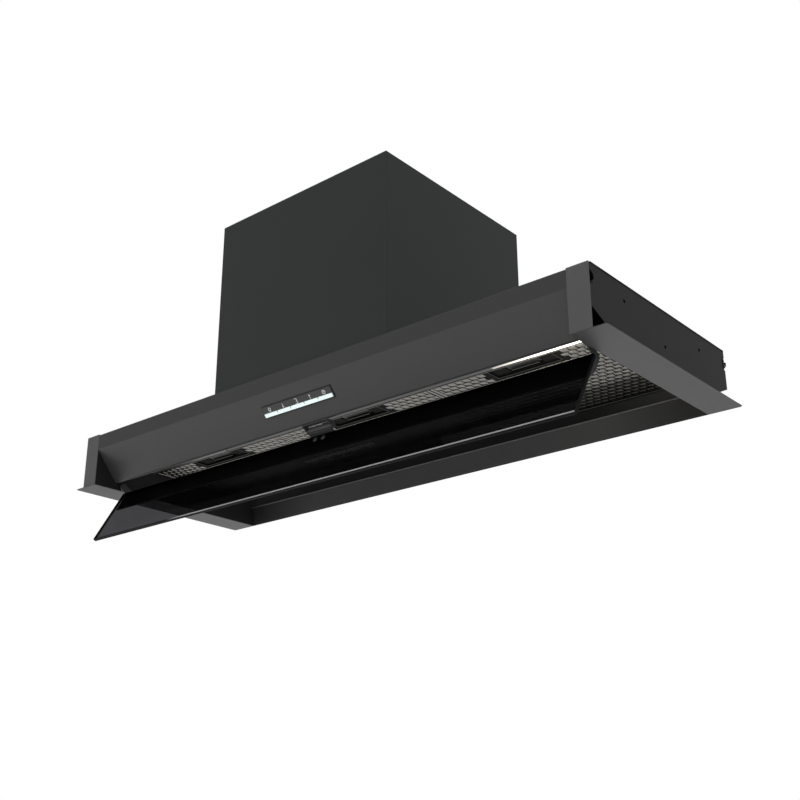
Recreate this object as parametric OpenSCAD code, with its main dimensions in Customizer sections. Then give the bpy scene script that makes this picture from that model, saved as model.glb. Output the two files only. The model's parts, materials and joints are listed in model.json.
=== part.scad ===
// Slim built-in range hood. A flat canopy hangs in a cabinet cut-out by its two side
// flanges, a motor box stands on the canopy and a smoked glass visor tilts at the front.
// Millimetres. X runs to the right, Y to the back and Z up. The origin is the centre of
// the cut-out, in the plane where the flanges meet the underside of the cabinet.

/* [Canopy] */
// Width over the two side flanges
overall_w = 900; // [760:1:1200]
// Depth from the front panel to the back wall
canopy_d = 313; // [290:1:400]
// Height of the canopy above the cabinet's underside
canopy_h = 76; // [64:1:110]
// How far each flange stands out past its side wall
flange_out = 17; // [8:1:40]
// Width of each corner post
post_w = 27.6; // [20:0.1:45]
// Thickness of the folded steel sheet
sheet_t = 1; // [0.8:0.1:1.5]
// Thickness of the side flanges
flange_t = 1; // [0.8:0.1:3]
// Thickness of the roof plate
roof_t = 1.5; // [1:0.1:3]

/* [Front panel] */
// How far the front panel's top edge lies below the top of the corner posts
lip_drop = 1.5; // [0:0.1:4]
// Height of the upright band above the sloping face
band_h = 22; // [14:0.5:28]
// Setback of the rolled hem from the front
hem_back = 38; // [28:0.5:60]
// Height of the hem above the cabinet's underside
hem_z = 9; // [6:0.5:14]
// Outside radius of the rolled hem
hem_r = 4; // [3:0.1:6]
// Size of the triangular cut at the front and back lower corners of the side walls
wall_cut_h = 25; // [15:0.5:35]
// Length of that cut along the flange
wall_cut_l = 56; // [30:1:70]

/* [Controls] */
// Height of the control plate along the slope
control_h = 16; // [14:0.5:20]
// Distance of the control plate below the fold, along the slope
control_drop = 18; // [14:0.5:22]
// Sideways place of the control plate
control_x = -7; // [-60:1:60]
// Pitch of the keys
key_pitch = 24; // [20:0.5:28]
// Height of a key along the slope
key_h = 5; // [4:0.1:6]
// How far a key can be pressed
key_travel = 0.9; // [0.5:0.1:1]

/* [Grease filters] */
// Height of the filters' underside above the cabinet's underside
filter_z = 40; // [32:0.5:44]
// Thickness of a filter
filter_t = 9; // [8:0.5:12]
// Setback of the filters from the front
filter_front = 106; // [96:1:115]
// Gap between the filters and the back wall
filter_back = 15; // [12:0.5:30]
// Gap between neighbouring filters
filter_gap = 2; // [1:0.5:6]
// Width of the latch recess
latch_w = 90; // [70:1:110]
// Depth of the latch recess, front to back
latch_d = 24; // [22:1:36]
// How far a latch can be pulled back
latch_travel = 6; // [3:0.5:8]

/* [Visor] */
// Height of the glass, from its top edge to its bottom edge
visor_h = 90; // [70:1:120]
// Thickness of the glass
glass_t = 5; // [4:0.5:6]
// Gap at each end of the glass
visor_end_gap = 1.4; // [1:0.1:4]
// Lean of the open glass from upright
visor_open = 30; // [0:1:45]
// Height of the rail that backs the glass
rail_h = 30; // [24:1:40]
// Setback of the hinge axis from the front
hinge_back = 48; // [47:0.5:56]
// Height of the hinge axis above the cabinet's underside
hinge_z = 4; // [0:0.5:4]
// Sideways place of the middle hinge
mid_hinge_x = 4; // [-60:1:60]
// Width of the middle hinge
mid_hinge_w = 44; // [36:1:70]

/* [Lamps] */
// Length of a lamp
lamp_l = 160; // [100:1:200]
// Width of a lamp's lens
lamp_w = 30; // [16:1:34]
// Gap between a lamp's outer end and the end of the visor bay
lamp_end_gap = 10; // [5:1:40]

/* [Motor box] */
// Width of the motor box
box_w = 305; // [250:1:400]
// Depth of the motor box
box_d = 287; // [240:1:288]
// Height of the motor box above the canopy
box_h = 254; // [215:1:400]
// Setback of the motor box from the front
box_back = 3; // [2:0.5:5]
// Outside radius of the outlet spigot
spigot_r = 75; // [60:0.5:75]
// Height of the spigot above the box
spigot_h = 60; // [45:1:100]
// Wall of the spigot
spigot_t = 1.5; // [1:0.1:3]

/* [Blower] */
// Outside radius of the impeller
impeller_r = 75; // [62:1:80]
// Length of the impeller
impeller_l = 120; // [90:1:140]
// Number of blades
blade_count = 32; // [16:1:40]
// Radius of the motor
motor_r = 40; // [30:1:44]
// Radius of the motor shaft
shaft_r = 4; // [3:0.5:6]
// Wall of the scroll housing
scroll_t = 2; // [1.5:0.5:3]

/* [Hidden] */
$fn = 48;

// Clearances
slide_gap = 0.3;      // between pieces that slide or swing past each other
pin_gap = 0.05;       // radial, between a pin and its bore
eps = 0.01;           // overlap that keeps a cut from leaving a skin

// Main planes
y_front = -canopy_d / 2;
y_back = canopy_d / 2;
wall_x = overall_w / 2 - flange_out;
bay_x = wall_x - post_w;
roof_z = canopy_h - roof_t;
hem = [y_front + hem_back, hem_z + hem_r];
fold = [y_front, canopy_h - lip_drop - band_h];

// Sloping face: the line from the fold that is tangent to the hem circle
fold_to_hem = norm(hem - fold);
slope_a = atan2(hem.y - fold.y, hem.x - fold.x) - asin(hem_r / fold_to_hem);

// Filter bay
ledge_t = sheet_t;
filter_y0 = y_front + filter_front;
filter_y1 = y_back - filter_back;
filter_w = (2 * (bay_x - 2 * filter_gap) - 2 * filter_gap) / 3;
filter_pitch = filter_w + filter_gap;
filter_floor = 3;
filter_wall = 1.2;
catch_h = 4;
inner_y = hem.x + hem_r;
lip_y = filter_y0 - sheet_t - slide_gap;
rear_ledge_z = filter_z + filter_t + 1;
rear_fold_h = 28;
rear_fold_back = 7;
rear_top_back = 13;
tab_t = 1;
tab_half = 10;
tab_back = 7;         // setback of the rear tabs' ends from the back wall's face
tab_z = rear_ledge_z + slide_gap;

// Latch: a housing with a rim round its recess, a guide slot above it and the slider in the slot
latch_rim = 2;
recess_h = 2;
guide_half = 24;
guide_y0 = filter_y0 + 3;
guide_y1 = filter_y0 + 1 + latch_d;
slider_z = filter_z + 3;
slider_t = 3;
slider_half = guide_half - 1;
nose_half = 10;
nose_back = 0.2;      // setback of the nose from the filter's front
mouth_half = nose_half + 1;
finger_half = 20;
finger_t = 2.5;

// Side wall screws, as setbacks from the front and heights
screw_r = 2.25;
screw_places = [[71, 55], [158, 30], [245, 55]];

// Controls, measured down the slope from the fold
plate_t = 1.6;
key_gap = 0.3;
key_count = 5;
key_w = key_pitch - 2 * key_gap;
plate_edge = 1;
control_w = key_count * key_pitch + 2 * plate_edge;
key_s = control_drop + control_h - plate_edge - key_gap - key_h / 2;
key_proud = 1;
board_n = -10;
board_t = 1.6;
board_inset = 1.5;    // of the switch board inside the plate's outline
switch_w = 6;
switch_d = 4.8;
switch_h = 3.4;
stem_w = 4;
stem_d = 3;

// Electronics above the ledge
bench_z = filter_z + ledge_t;
bench_h = roof_z - bench_z;
bench_y0 = inner_y + 8;
bench_y1 = lip_y - 4;

// Lamps
lamp_x = bay_x - lamp_end_gap - lamp_l / 2;
lamp_y1 = lip_y - 1.2;
lamp_y0 = lamp_y1 - lamp_w;
lens_proud = 0.8;
lamp_body_h = min(15, bench_h - 4);

// Motor box
box_y0 = y_front + box_back;
box_y1 = box_y0 + box_d;
box_y = (box_y0 + box_y1) / 2;
box_x = box_w / 2;
box_top = canopy_h + box_h;
lid_z = box_top - sheet_t;
intake_x = box_x - 22.5;
intake_y0 = filter_y0 + 4;
intake_y1 = box_y1 - 14;

// Blower
blower_setback = 20;
scroll_gap = 7;
scroll_grow = 30;
scroll_r0 = impeller_r + scroll_gap;
scroll_r1 = scroll_r0 + scroll_grow;
tongue_a = 75;
scroll_sweep = tongue_a + 180;
function scroll_r(a) = scroll_r0 + scroll_grow * (tongue_a - a) / scroll_sweep;
scroll_half = impeller_l / 2 + 13;
blower_y = box_y + blower_setback;
blower_z = canopy_h + 8 + scroll_t + scroll_r(-90);
inlet_r = impeller_r - 11;
motor_x0 = -scroll_half + 1;
motor_x1 = -14;
hub_r = 12;
hub_l = 24;
mount_ring_r = inlet_r + 6;
rubber_r = 5;
rubber_at = motor_r - 9;

// Spigot and damper
spigot_z = box_top;
spigot_bore = spigot_r - spigot_t;
scroll_mouth = spigot_bore - 1.5;
damper_z = spigot_z + 25;
damper_pin_r = 2;
damper_t = 1.2;
damper_barrel_r = 3.2;

// Visor, drawn about its hinge axis with the glass hanging straight down
hinge_y = y_front + hinge_back;
pin_r = 2;
pin_end_r = 2.5;
visor_half = bay_x - visor_end_gap;
glass_y = 5.7;
glass_z = -5.9;
rail_t = 2;
rail_y = glass_y + glass_t;
arm_t = 2;
arm_reach = 7;
foot_t = 1.5;
arm_x = visor_half - 2.5;
rail_back = rail_y + rail_t;
mid_x0 = mid_hinge_x - mid_hinge_w / 2;
mid_x1 = mid_hinge_x + mid_hinge_w / 2;
ear_t = 2;
leaf_half = mid_hinge_w / 2 - ear_t - slide_gap;
leaf_top = -2.7;
ear_r = 4.6;
bracket_t = 1.6;
bracket_back = 2;
head_h = 1.4;         // of the round fastener heads on the visor
barrel_r = 4;
arm_top = hinge_y - inner_y - sheet_t - slide_gap;

// ---- Helpers ----

function unit(v) = v / norm(v);
function side(a, b) = let (u = unit(b - a)) [-u.y, u.x];

// Point i of a path moved t to its left, with mitred corners
function mitre(path, i, t) =
    let (n = len(path) - 1,
         before = i == 0 ? side(path[0], path[1]) : side(path[i - 1], path[i]),
         after = i == n ? side(path[n - 1], path[n]) : side(path[i], path[i + 1]))
    path[i] + t * (before + after) / (1 + before * after);

// Closed outline of a sheet t thick that lies on the left of a path
function sheet_outline(path, t) =
    concat(path, [for (i = [len(path) - 1 : -1 : 0]) mitre(path, i, t)]);

// Points of an arc about c
function arc(c, r, a0, a1, steps) =
    [for (i = [0 : steps]) let (a = a0 + (a1 - a0) * i / steps) c + r * [cos(a), sin(a)]];

// Extrudes a (Y, Z) outline along X
module along_x(x0, x1) {
    translate([x0, 0, 0])
        rotate([90, 0, 90])
            linear_extrude(x1 - x0) children();
}

// A box from its low corner to its high corner
module block(lo, hi) {
    translate(lo) cube(hi - lo);
}

module mirror_pair() {
    children();
    mirror([1, 0, 0]) children();
}

// Rod along X
module rod_x(x0, x1, r) {
    translate([x0, 0, 0]) rotate([0, 90, 0]) cylinder(h = x1 - x0, r = r);
}

// Frame on the sloping face: X across, -Y down the slope from the fold, Z outwards
module on_slope(x) {
    translate([x, fold.x, fold.y])
        rotate([slope_a + 180, 0, 0]) children();
}

// Frame of the visor about its hinge axis: Z along the glass, -Y outwards
module on_visor() {
    translate([0, hinge_y, hinge_z]) rotate([-visor_open, 0, 0]) children();
}

// ---- Canopy ----

module roof_plate() {
    color("#303232")
    difference() {
        block([-wall_x - 0.6, y_front + box_back, roof_z], [wall_x + 0.6, y_back - sheet_t, canopy_h]);
        block([-intake_x, intake_y0, roof_z - 1], [intake_x, intake_y1, canopy_h + 1]);
    }
}

// Left side wall; the right one is its mirror image
module side_wall() {
    y0 = y_front + sheet_t;
    clip_c = [y0, 59];
    difference() {
        along_x(-wall_x, -wall_x + sheet_t)
            polygon([
                [y0, roof_z], [y0, wall_cut_h], [y_front + wall_cut_l, 0],
                [y_back - wall_cut_l, 0], [y_back, wall_cut_h], [y_back, roof_z]
            ]);
        for (p = screw_places)
            translate([-wall_x, y_front + p.x, p.y]) rod_x(-1, sheet_t + 1, screw_r);
        translate([-wall_x, clip_c.x, clip_c.y]) rod_x(-1, sheet_t + 1, 8);
        translate([-wall_x - 1, y_back - 6, 50]) cube([sheet_t + 2, 7, 16]);
    }
}

module side_wall_left() { color("#2b2b2d") side_wall(); }
module side_wall_right() { color("#2b2b2d") mirror([1, 0, 0]) side_wall(); }

module back_wall() {
    low_x = bay_x;
    color("#242525")
    translate([0, y_back, 0])
        rotate([90, 0, 0])
            linear_extrude(sheet_t)
                polygon([
                    [-wall_x + sheet_t, roof_z], [-wall_x + sheet_t, wall_cut_h],
                    [-low_x, wall_cut_h], [-low_x, -flange_t], [low_x, -flange_t],
                    [low_x, wall_cut_h], [wall_x - sheet_t, wall_cut_h], [wall_x - sheet_t, roof_z]
                ]);
}

// Band, slope, rolled hem and a short return behind the hem, as one folded sheet
module front_panel() {
    turn = arc(hem, hem_r, slope_a - 90, 0, 10);
    path = concat([[y_front, canopy_h - lip_drop], fold], turn, [hem + [hem_r, 8]]);
    color("#3e4040")
    difference() {
        along_x(-bay_x, bay_x) polygon(sheet_outline(path, sheet_t));
        on_slope(control_x)
            block([-control_w / 2 + 1, -control_drop - control_h + 1, -4],
                  [control_w / 2 - 1, -control_drop - 1, 1]);
    }
}

module corner_post(side_sign) {
    lo = side_sign < 0 ? -wall_x : bay_x;
    block([lo, y_front, 0], [lo + post_w, y_front + sheet_t, canopy_h]);
}

module corner_post_left() { color("#4c4d4e") corner_post(-1); }
module corner_post_right() { color("#4c4d4e") corner_post(1); }

// Flange strip with rounded outer corners
module flange() {
    corner = 3;
    translate([0, 0, -flange_t])
        linear_extrude(flange_t)
            polygon(concat(
                [[bay_x, y_front]],
                arc([overall_w / 2 - corner, y_front + corner], corner, -90, 0, 6),
                arc([overall_w / 2 - corner, y_back - corner], corner, 0, 90, 6),
                [[bay_x, y_back]]
            ));
}

module flange_left() { color("#6b6d6f") mirror([1, 0, 0]) flange(); }
module flange_right() { color("#5c5c5e") flange(); }

// Sloping panel behind the filters, with the ledge that the filters' rear tabs rest on
module rear_panel() {
    y1 = y_back - sheet_t;
    path = [
        [y1 - sheet_t, 0],
        [y_back - rear_fold_back, rear_fold_h],
        [y_back - rear_top_back, filter_z],
        [y_back - rear_top_back, rear_ledge_z],
        [y1, rear_ledge_z]
    ];
    color("#2d2d2e")
    along_x(-bay_x, bay_x)
        polygon(concat(path, [
            [y1, rear_ledge_z - sheet_t],
            [y_back - rear_top_back + sheet_t, rear_ledge_z - sheet_t],
            [y_back - rear_top_back + sheet_t, filter_z + 0.2],
            [y_back - rear_fold_back + sheet_t, rear_fold_h + 0.1],
            [y1, 0]
        ]));
}

module inner_side() {
    block([bay_x, y_front + sheet_t, 0], [bay_x + sheet_t, y_back - sheet_t, roof_z]);
}

module inner_side_left() { color("#333434") mirror([1, 0, 0]) inner_side(); }
module inner_side_right() { color("#333434") inner_side(); }

// Upright panel behind the hem, the ledge in front of the filters and its catch lip
module inner_front_panel() {
    path = [
        [inner_y + sheet_t, hem.y + 1],
        [inner_y + sheet_t, filter_z],
        [lip_y + sheet_t, filter_z],
        [lip_y + sheet_t, filter_z + catch_h]
    ];
    color("#3a3b3b")
    difference() {
        along_x(-bay_x, bay_x) polygon(sheet_outline(path, sheet_t));
        mirror_pair()
            block([lamp_x - lamp_l / 2, lamp_y0, filter_z - 1],
                  [lamp_x + lamp_l / 2, lamp_y1, filter_z + 3]);
    }
}

// Spring clips that grip the sides of the cut-out: a curved one at each front edge
// and a hooked one in each back notch
module mounting_clips() {
    color("#1c1c1d")
    mirror_pair() {
        translate([wall_x - 8, y_front + 2 * sheet_t, 59])
            difference() {
                rod_x(0, 8 + sheet_t, 7);
                rod_x(-1, 9 + sheet_t, 5.5);
                block([-1, -9, -9], [11, 0.5, 9]);
            }
        block([wall_x - 10, y_back - 5, 52], [wall_x - sheet_t, y_back - 2, 64]);
        along_x(wall_x - sheet_t, wall_x + 0.6)
            polygon([
                [y_back - 5, 52], [y_back - 2, 52], [y_back + 3, 57], [y_back + 3, 61],
                [y_back + 1, 61], [y_back + 1, 58], [y_back - 2, 55], [y_back - 2, 64], [y_back - 5, 64]
            ]);
    }
}

// ---- Lamps ----

// Lamp bodies over the ledge
module lamp_housings() {
    rim = 3;
    color("#8c8e90")
    mirror_pair()
        difference() {
            block([lamp_x - lamp_l / 2 - rim, lamp_y0 - rim, bench_z],
                  [lamp_x + lamp_l / 2 + rim, lamp_y1, bench_z + lamp_body_h]);
            block([lamp_x - lamp_l / 2, lamp_y0, bench_z - 1],
                  [lamp_x + lamp_l / 2, lamp_y1 - 1.5, bench_z + 4]);
        }
}

// Milky lens, flush in the ledge
module lamp_lens() {
    play = 0.15;
    block([lamp_x - lamp_l / 2 + play, lamp_y0 + play, filter_z - lens_proud],
          [lamp_x + lamp_l / 2 - play, lamp_y1 - play, bench_z]);
    block([lamp_x - lamp_l / 2 + play, lamp_y0 + play, bench_z - eps],
          [lamp_x + lamp_l / 2 - play, lamp_y1 - 1.5 - play, bench_z + 3]);
}

module lamp_lens_left() { color("#404244") mirror([1, 0, 0]) lamp_lens(); }
module lamp_lens_right() { color("#fff6e8") lamp_lens(); }

// Lamp power supply
module lamp_driver() {
    color("#d8d8d4")
    block([60, bench_y0, bench_z], [140, bench_y1, bench_z + min(20, bench_h - 3)]);
}

// ---- Controls ----

// Lowest and highest corner of the key strip's window
strip_lo = [-key_count * key_pitch / 2 - key_gap, -key_s - key_h / 2 - key_gap];
strip_hi = [key_count * key_pitch / 2 + key_gap, -key_s + key_h / 2 + key_gap];

module control_plate() {
    boss = 2.4;
    color("#1d1f20")
    on_slope(control_x) {
        difference() {
            block([-control_w / 2, -control_drop - control_h, 0],
                  [control_w / 2, -control_drop, plate_t]);
            block([strip_lo.x, strip_lo.y, -1], [strip_hi.x, strip_hi.y, plate_t + 1]);
        }
        for (s = [-1, 1])
            translate([s * (control_w / 2 - board_inset - boss), -control_drop - board_inset - boss,
                       board_n + board_t])
                cylinder(h = -board_n - board_t + eps, r = boss);
    }
}

// Board behind the keys, with one small push switch under each key
module switch_board() {
    on_slope(control_x) {
        color("#1f5a3a")
        block([-control_w / 2 + board_inset, strip_lo.y, board_n],
              [control_w / 2 - board_inset, -control_drop - board_inset, board_n + board_t]);
        color("#2c2c2c")
        for (i = [0 : key_count - 1])
            translate([(i - (key_count - 1) / 2) * key_pitch, -key_s, board_n + board_t])
                translate([-switch_w / 2, -switch_d / 2, 0]) cube([switch_w, switch_d, switch_h]);
    }
}

// Key i, counted from the left: a bar cap and the stem that reaches its switch
module key(i) {
    x = (i - (key_count + 1) / 2) * key_pitch;
    stem_end = board_n + board_t + switch_h + key_travel + 0.1;
    on_slope(control_x) {
        block([x - key_w / 2, -key_s - key_h / 2, plate_t - 1],
              [x + key_w / 2, -key_s + key_h / 2, plate_t + key_proud]);
        block([x - stem_w / 2, -key_s - stem_d / 2, stem_end],
              [x + stem_w / 2, -key_s + stem_d / 2, plate_t]);
    }
}

module key_1() { color("#e0ecec") key(1); }
module key_2() { color("#e0ecec") key(2); }
module key_3() { color("#e0ecec") key(3); }
module key_4() { color("#e0ecec") key(4); }
module key_5() { color("#e0ecec") key(5); }

// ---- Electronics ----

electronics_x0 = -150;
electronics_x1 = -20;
case_t = 1.5;

// Case over the ledge, open at the front where the leads come in
module electronics_box() {
    color("#c9cbc8")
    difference() {
        block([electronics_x0, bench_y0, bench_z], [electronics_x1, bench_y1, roof_z - 1]);
        block([electronics_x0 + case_t, bench_y0 - 1, bench_z + case_t],
              [electronics_x1 - case_t, bench_y1 - case_t, roof_z - 1 - case_t]);
    }
}

// Board on four pillars, with a relay, a transformer and a terminal block
module control_board() {
    z0 = bench_z + case_t;
    board_z = z0 + 4;
    x0 = electronics_x0 + case_t + 2;
    x1 = electronics_x1 - case_t - 2;
    y1 = bench_y1 - case_t - 1;
    part_h = roof_z - 1 - case_t - board_z - 1.6 - 1.5;
    color("#1f5a3a") {
        block([x0, bench_y0 + 2, board_z], [x1, y1, board_z + 1.6]);
        for (x = [x0 + 5, x1 - 5])
            for (y = [bench_y0 + 7, y1 - 5])
                translate([x, y, z0]) cylinder(h = board_z - z0 + eps, r = 2.5);
        block([x0 + 12, y1 - 28, board_z + 1], [x0 + 42, y1 - 4, board_z + 1.6 + part_h]);
        block([x0 + 52, y1 - 22, board_z + 1], [x0 + 70, y1 - 6, board_z + 1.6 + 0.7 * part_h]);
        block([x0 + 80, bench_y0 + 4, board_z + 1], [x1 - 10, bench_y0 + 16, board_z + 1.6 + 0.6 * part_h]);
    }
}

gland_x = box_x - 40.5;
gland_y = box_y1 - 43.5;
gland_bore = 4;
gland_r = 8;

// Cable entry in the lid
module cable_gland() {
    color("#161617")
    translate([gland_x, gland_y, 0])
        difference() {
            union() {
                translate([0, 0, lid_z - 6]) cylinder(h = 6, r = 12, $fn = 6);
                translate([0, 0, lid_z - eps]) cylinder(h = sheet_t + 2 * eps, r = gland_r);
                translate([0, 0, box_top]) cylinder(h = 7, r = 12, $fn = 6);
                translate([0, 0, box_top + 6.9]) cylinder(h = 9, r = 9);
            }
            translate([0, 0, lid_z - 7]) cylinder(h = 40, r = gland_bore);
        }
}

// ---- Motor box ----

module box_front() {
    color("#2f3232") block([-box_x, box_y0, canopy_h], [box_x, box_y0 + sheet_t, box_top]);
}

module box_back_panel() {
    color("#2f3232") block([-box_x, box_y1 - sheet_t, canopy_h], [box_x, box_y1, box_top]);
}

module box_left() {
    color("#2f3232")
        block([-box_x, box_y0 + sheet_t, canopy_h], [-box_x + sheet_t, box_y1 - sheet_t, box_top]);
}

module box_right() {
    color("#2f2f31")
        block([box_x - sheet_t, box_y0 + sheet_t, canopy_h], [box_x, box_y1 - sheet_t, box_top]);
}

lid_screw_in = 10;
lid_screw_r = 2;

// Visits the four lid screws
module at_lid_screws() {
    for (x = [-box_x + lid_screw_in, box_x - lid_screw_in])
        for (y = [box_y0 + lid_screw_in, box_y1 - lid_screw_in])
            translate([x, y, 0]) children();
}

// Lid, set down between the four walls
module box_lid() {
    color("#292b2b")
    difference() {
        block([-box_x + sheet_t, box_y0 + sheet_t, lid_z], [box_x - sheet_t, box_y1 - sheet_t, box_top]);
        translate([0, box_y, lid_z - 1]) cylinder(h = sheet_t + 2, r = spigot_bore);
        translate([gland_x, gland_y, lid_z - 1]) cylinder(h = sheet_t + 2, r = gland_r);
        at_lid_screws() translate([0, 0, lid_z - 1]) cylinder(h = sheet_t + 2, r = lid_screw_r);
    }
}

module lid_screws() {
    color("#55585a")
    at_lid_screws() {
        translate([0, 0, lid_z - 8]) cylinder(h = 8 + sheet_t + eps, r = lid_screw_r);
        difference() {
            translate([0, 0, box_top]) cylinder(h = 2, r = 4);
            translate([-3, -0.5, box_top + 1]) cube([6, 1, 2]);
            translate([-0.5, -3, box_top + 1]) cube([1, 6, 2]);
        }
    }
}

// ---- Outlet ----

module outlet_spigot() {
    ring_r = spigot_r + 10;
    ring_t = 2;
    color("#202122")
    translate([0, box_y, spigot_z])
        difference() {
            union() {
                cylinder(h = spigot_h, r = spigot_r, $fn = 96);
                cylinder(h = ring_t, r = ring_r, $fn = 96);
            }
            translate([0, 0, -1]) cylinder(h = spigot_h + 2, r = spigot_bore, $fn = 96);
        }
}

module damper_pin() {
    color("#a8abad")
    translate([0, box_y, damper_z]) rod_x(-spigot_bore + 0.1, spigot_bore - 0.1, damper_pin_r);
}

// Half-round flap; turn is -1 for the front one and 1 for the back one, and barrels
// lists the stretches of the pin that it turns on
module damper_flap(turn, barrels) {
    r = spigot_bore - 1;
    root = damper_barrel_r + 0.8;
    translate([0, box_y, damper_z])
        difference() {
            union() {
                intersection() {
                    translate([0, 0, -damper_t / 2]) cylinder(h = damper_t, r = r, $fn = 96);
                    block([-r, turn > 0 ? root : -r, -damper_t], [r, turn > 0 ? r : -root, damper_t]);
                }
                for (b = barrels) {
                    rod_x(b.x, b.y, damper_barrel_r);
                    block([b.x, turn > 0 ? 0 : -root - 1, -damper_t / 2],
                          [b.y, turn > 0 ? root + 1 : 0, damper_t / 2]);
                }
            }
            rod_x(-spigot_r, spigot_r, damper_pin_r + pin_gap);
        }
}

module damper_flap_front() { color("#3a3b3c") damper_flap(-1, [[-50, -36], [8, 22]]); }
module damper_flap_back() { color("#3a3b3c") damper_flap(1, [[-22, -8], [36, 50]]); }

// ---- Blower ----

// Outline of the scroll's air space, grown by t, in (Y, Z)
function scroll_outline(t, top) =
    concat(
        [for (i = [0 : 34])
            let (a = tongue_a - scroll_sweep * i / 34)
            [blower_y, blower_z] + (scroll_r(a) + t) * [cos(a), sin(a)]],
        [
            [blower_y - scroll_r1 - t, blower_z + 0.55 * (lid_z - blower_z)],
            [box_y - scroll_mouth - t, top],
            [box_y + scroll_mouth + t, top]
        ]
    );

// One half of the housing: from its cheek at x0 to the split at x1
module scroll_half(cheek_x0, cheek_x1, wrap_x0, wrap_x1) {
    difference() {
        union() {
            along_x(cheek_x0, cheek_x1) polygon(scroll_outline(scroll_t, lid_z));
            along_x(wrap_x0, wrap_x1)
                difference() {
                    polygon(scroll_outline(scroll_t, lid_z));
                    polygon(scroll_outline(0, lid_z + 1));
                }
        }
        translate([0, blower_y, blower_z]) rod_x(cheek_x0 - 1, cheek_x1 + 1, inlet_r);
    }
}

module scroll_left() {
    color("#232425") scroll_half(-scroll_half - scroll_t, -scroll_half, -scroll_half, 0);
}

module scroll_right() {
    color("#232425") scroll_half(scroll_half, scroll_half + scroll_t, 0, scroll_half);
}

// Squirrel-cage impeller, open at both ends, with a hub disc in the middle
module impeller() {
    blade_depth = 13;
    ring_t = 3;
    color("#3b3d3f")
    translate([0, blower_y, blower_z]) {
        difference() {
            union() {
                rod_x(-1.5, 1.5, impeller_r);
                rod_x(-hub_l / 4, 0.75 * hub_l, hub_r);
            }
            rod_x(-hub_l, hub_l, shaft_r);
        }
        for (x = [-impeller_l / 2, impeller_l / 2 - ring_t])
            difference() {
                rod_x(x, x + ring_t, impeller_r);
                rod_x(x - 1, x + ring_t + 1, impeller_r - 6);
            }
        for (k = [0 : blade_count - 1])
            rotate([k * 360 / blade_count, 0, 0])
                translate([0, 0, impeller_r - 0.5])
                    rotate([-35, 0, 0])
                        block([-impeller_l / 2 + 0.5, -0.6, -blade_depth], [impeller_l / 2 - 0.5, 0.6, 0]);
    }
}

module motor_shaft() {
    color("#b4b6b8")
    translate([0, blower_y, blower_z]) rod_x(motor_x0 + 6, 0.75 * hub_l, shaft_r);
}

// Motor can with a shaft bore and cooling ribs
module motor() {
    rib_count = 6;
    pitch = (motor_x1 - motor_x0 - 12) / rib_count;
    color("#7d8083")
    translate([0, blower_y, blower_z])
        difference() {
            union() {
                rod_x(motor_x0 + 2, motor_x1, motor_r - 3);
                for (i = [0 : rib_count])
                    rod_x(motor_x0 + 5 + i * pitch, motor_x0 + 8 + i * pitch, motor_r);
            }
            rod_x(motor_x0 - 5, motor_x1 + 5, shaft_r + pin_gap);
        }
}

bracket_x1 = -scroll_half - scroll_t;
bracket_x0 = bracket_x1 - 3;

// Ring round the left inlet with three arms that carry the motor
module motor_bracket() {
    color("#9a9c9e")
    translate([0, blower_y, blower_z]) {
        difference() {
            rod_x(bracket_x0, bracket_x1, mount_ring_r + 4);
            rod_x(bracket_x0 - 1, bracket_x1 + 1, inlet_r - 1);
        }
        for (a = [90, 210, 330])
            rotate([a - 90, 0, 0])
                block([bracket_x0, -5, rubber_at - 7], [bracket_x1, 5, inlet_r]);
    }
}

module rubber_mounts() {
    color("#141414")
    translate([0, blower_y, blower_z])
        for (a = [90, 210, 330])
            rotate([a - 90, 0, 0])
                translate([0, 0, rubber_at]) rod_x(bracket_x1, motor_x0 + 2, rubber_r);
}

module capacitor() {
    color("#c8c8c4")
    translate([-box_x + sheet_t + 20, box_y1 - 40, box_top - 90]) cylinder(h = 60, r = 16);
}

// ---- Grease filters ----

function filter_x(i) = i * filter_pitch;

// Filter i (-1, 0 or 1): a tray with a latch housing at its front and two rear tabs
module filter(i) {
    x0 = filter_x(i) - filter_w / 2;
    x1 = filter_x(i) + filter_w / 2;
    z1 = filter_z + filter_t;
    tab_y1 = y_back - tab_back;
    latch_y0 = filter_y0 + latch_rim;
    latch_y1 = latch_y0 + latch_d;
    difference() {
        union() {
            difference() {
                block([x0, filter_y0, filter_z], [x1, filter_y1, z1]);
                block([x0 + filter_wall, filter_y0 + filter_wall, filter_z + filter_floor],
                      [x1 - filter_wall, filter_y1 - filter_wall, z1 + 1]);
            }
            block([filter_x(i) - latch_w / 2 - latch_rim, filter_y0, filter_z],
                  [filter_x(i) + latch_w / 2 + latch_rim, latch_y1 + latch_rim, z1]);
            for (s = [-1, 1])
                translate([filter_x(i) + s * filter_w / 3, 0, 0]) {
                    block([-tab_half, filter_y1 - filter_wall, z1 - tab_t],
                          [tab_half, filter_y1, tab_z + tab_t]);
                    block([-tab_half, filter_y1 - filter_wall, tab_z],
                          [tab_half, tab_y1, tab_z + tab_t]);
                }
        }
        // latch recess, the slider's guide and the mouth of its nose
        block([filter_x(i) - latch_w / 2, latch_y0, filter_z - 1],
              [filter_x(i) + latch_w / 2, latch_y1, filter_z + recess_h]);
        block([filter_x(i) - guide_half, guide_y0, filter_z + recess_h - 1],
              [filter_x(i) + guide_half, guide_y1, slider_z + slider_t + 0.5]);
        block([filter_x(i) - mouth_half, filter_y0 - 1, slider_z - slide_gap],
              [filter_x(i) + mouth_half, guide_y0 + 1, slider_z + slider_t + slide_gap]);
    }
}

module filter_left() { color("#5e5c58") filter(-1); }
module filter_middle() { color("#5e5c58") filter(0); }
module filter_right() { color("#5e5c58") filter(1); }

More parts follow.
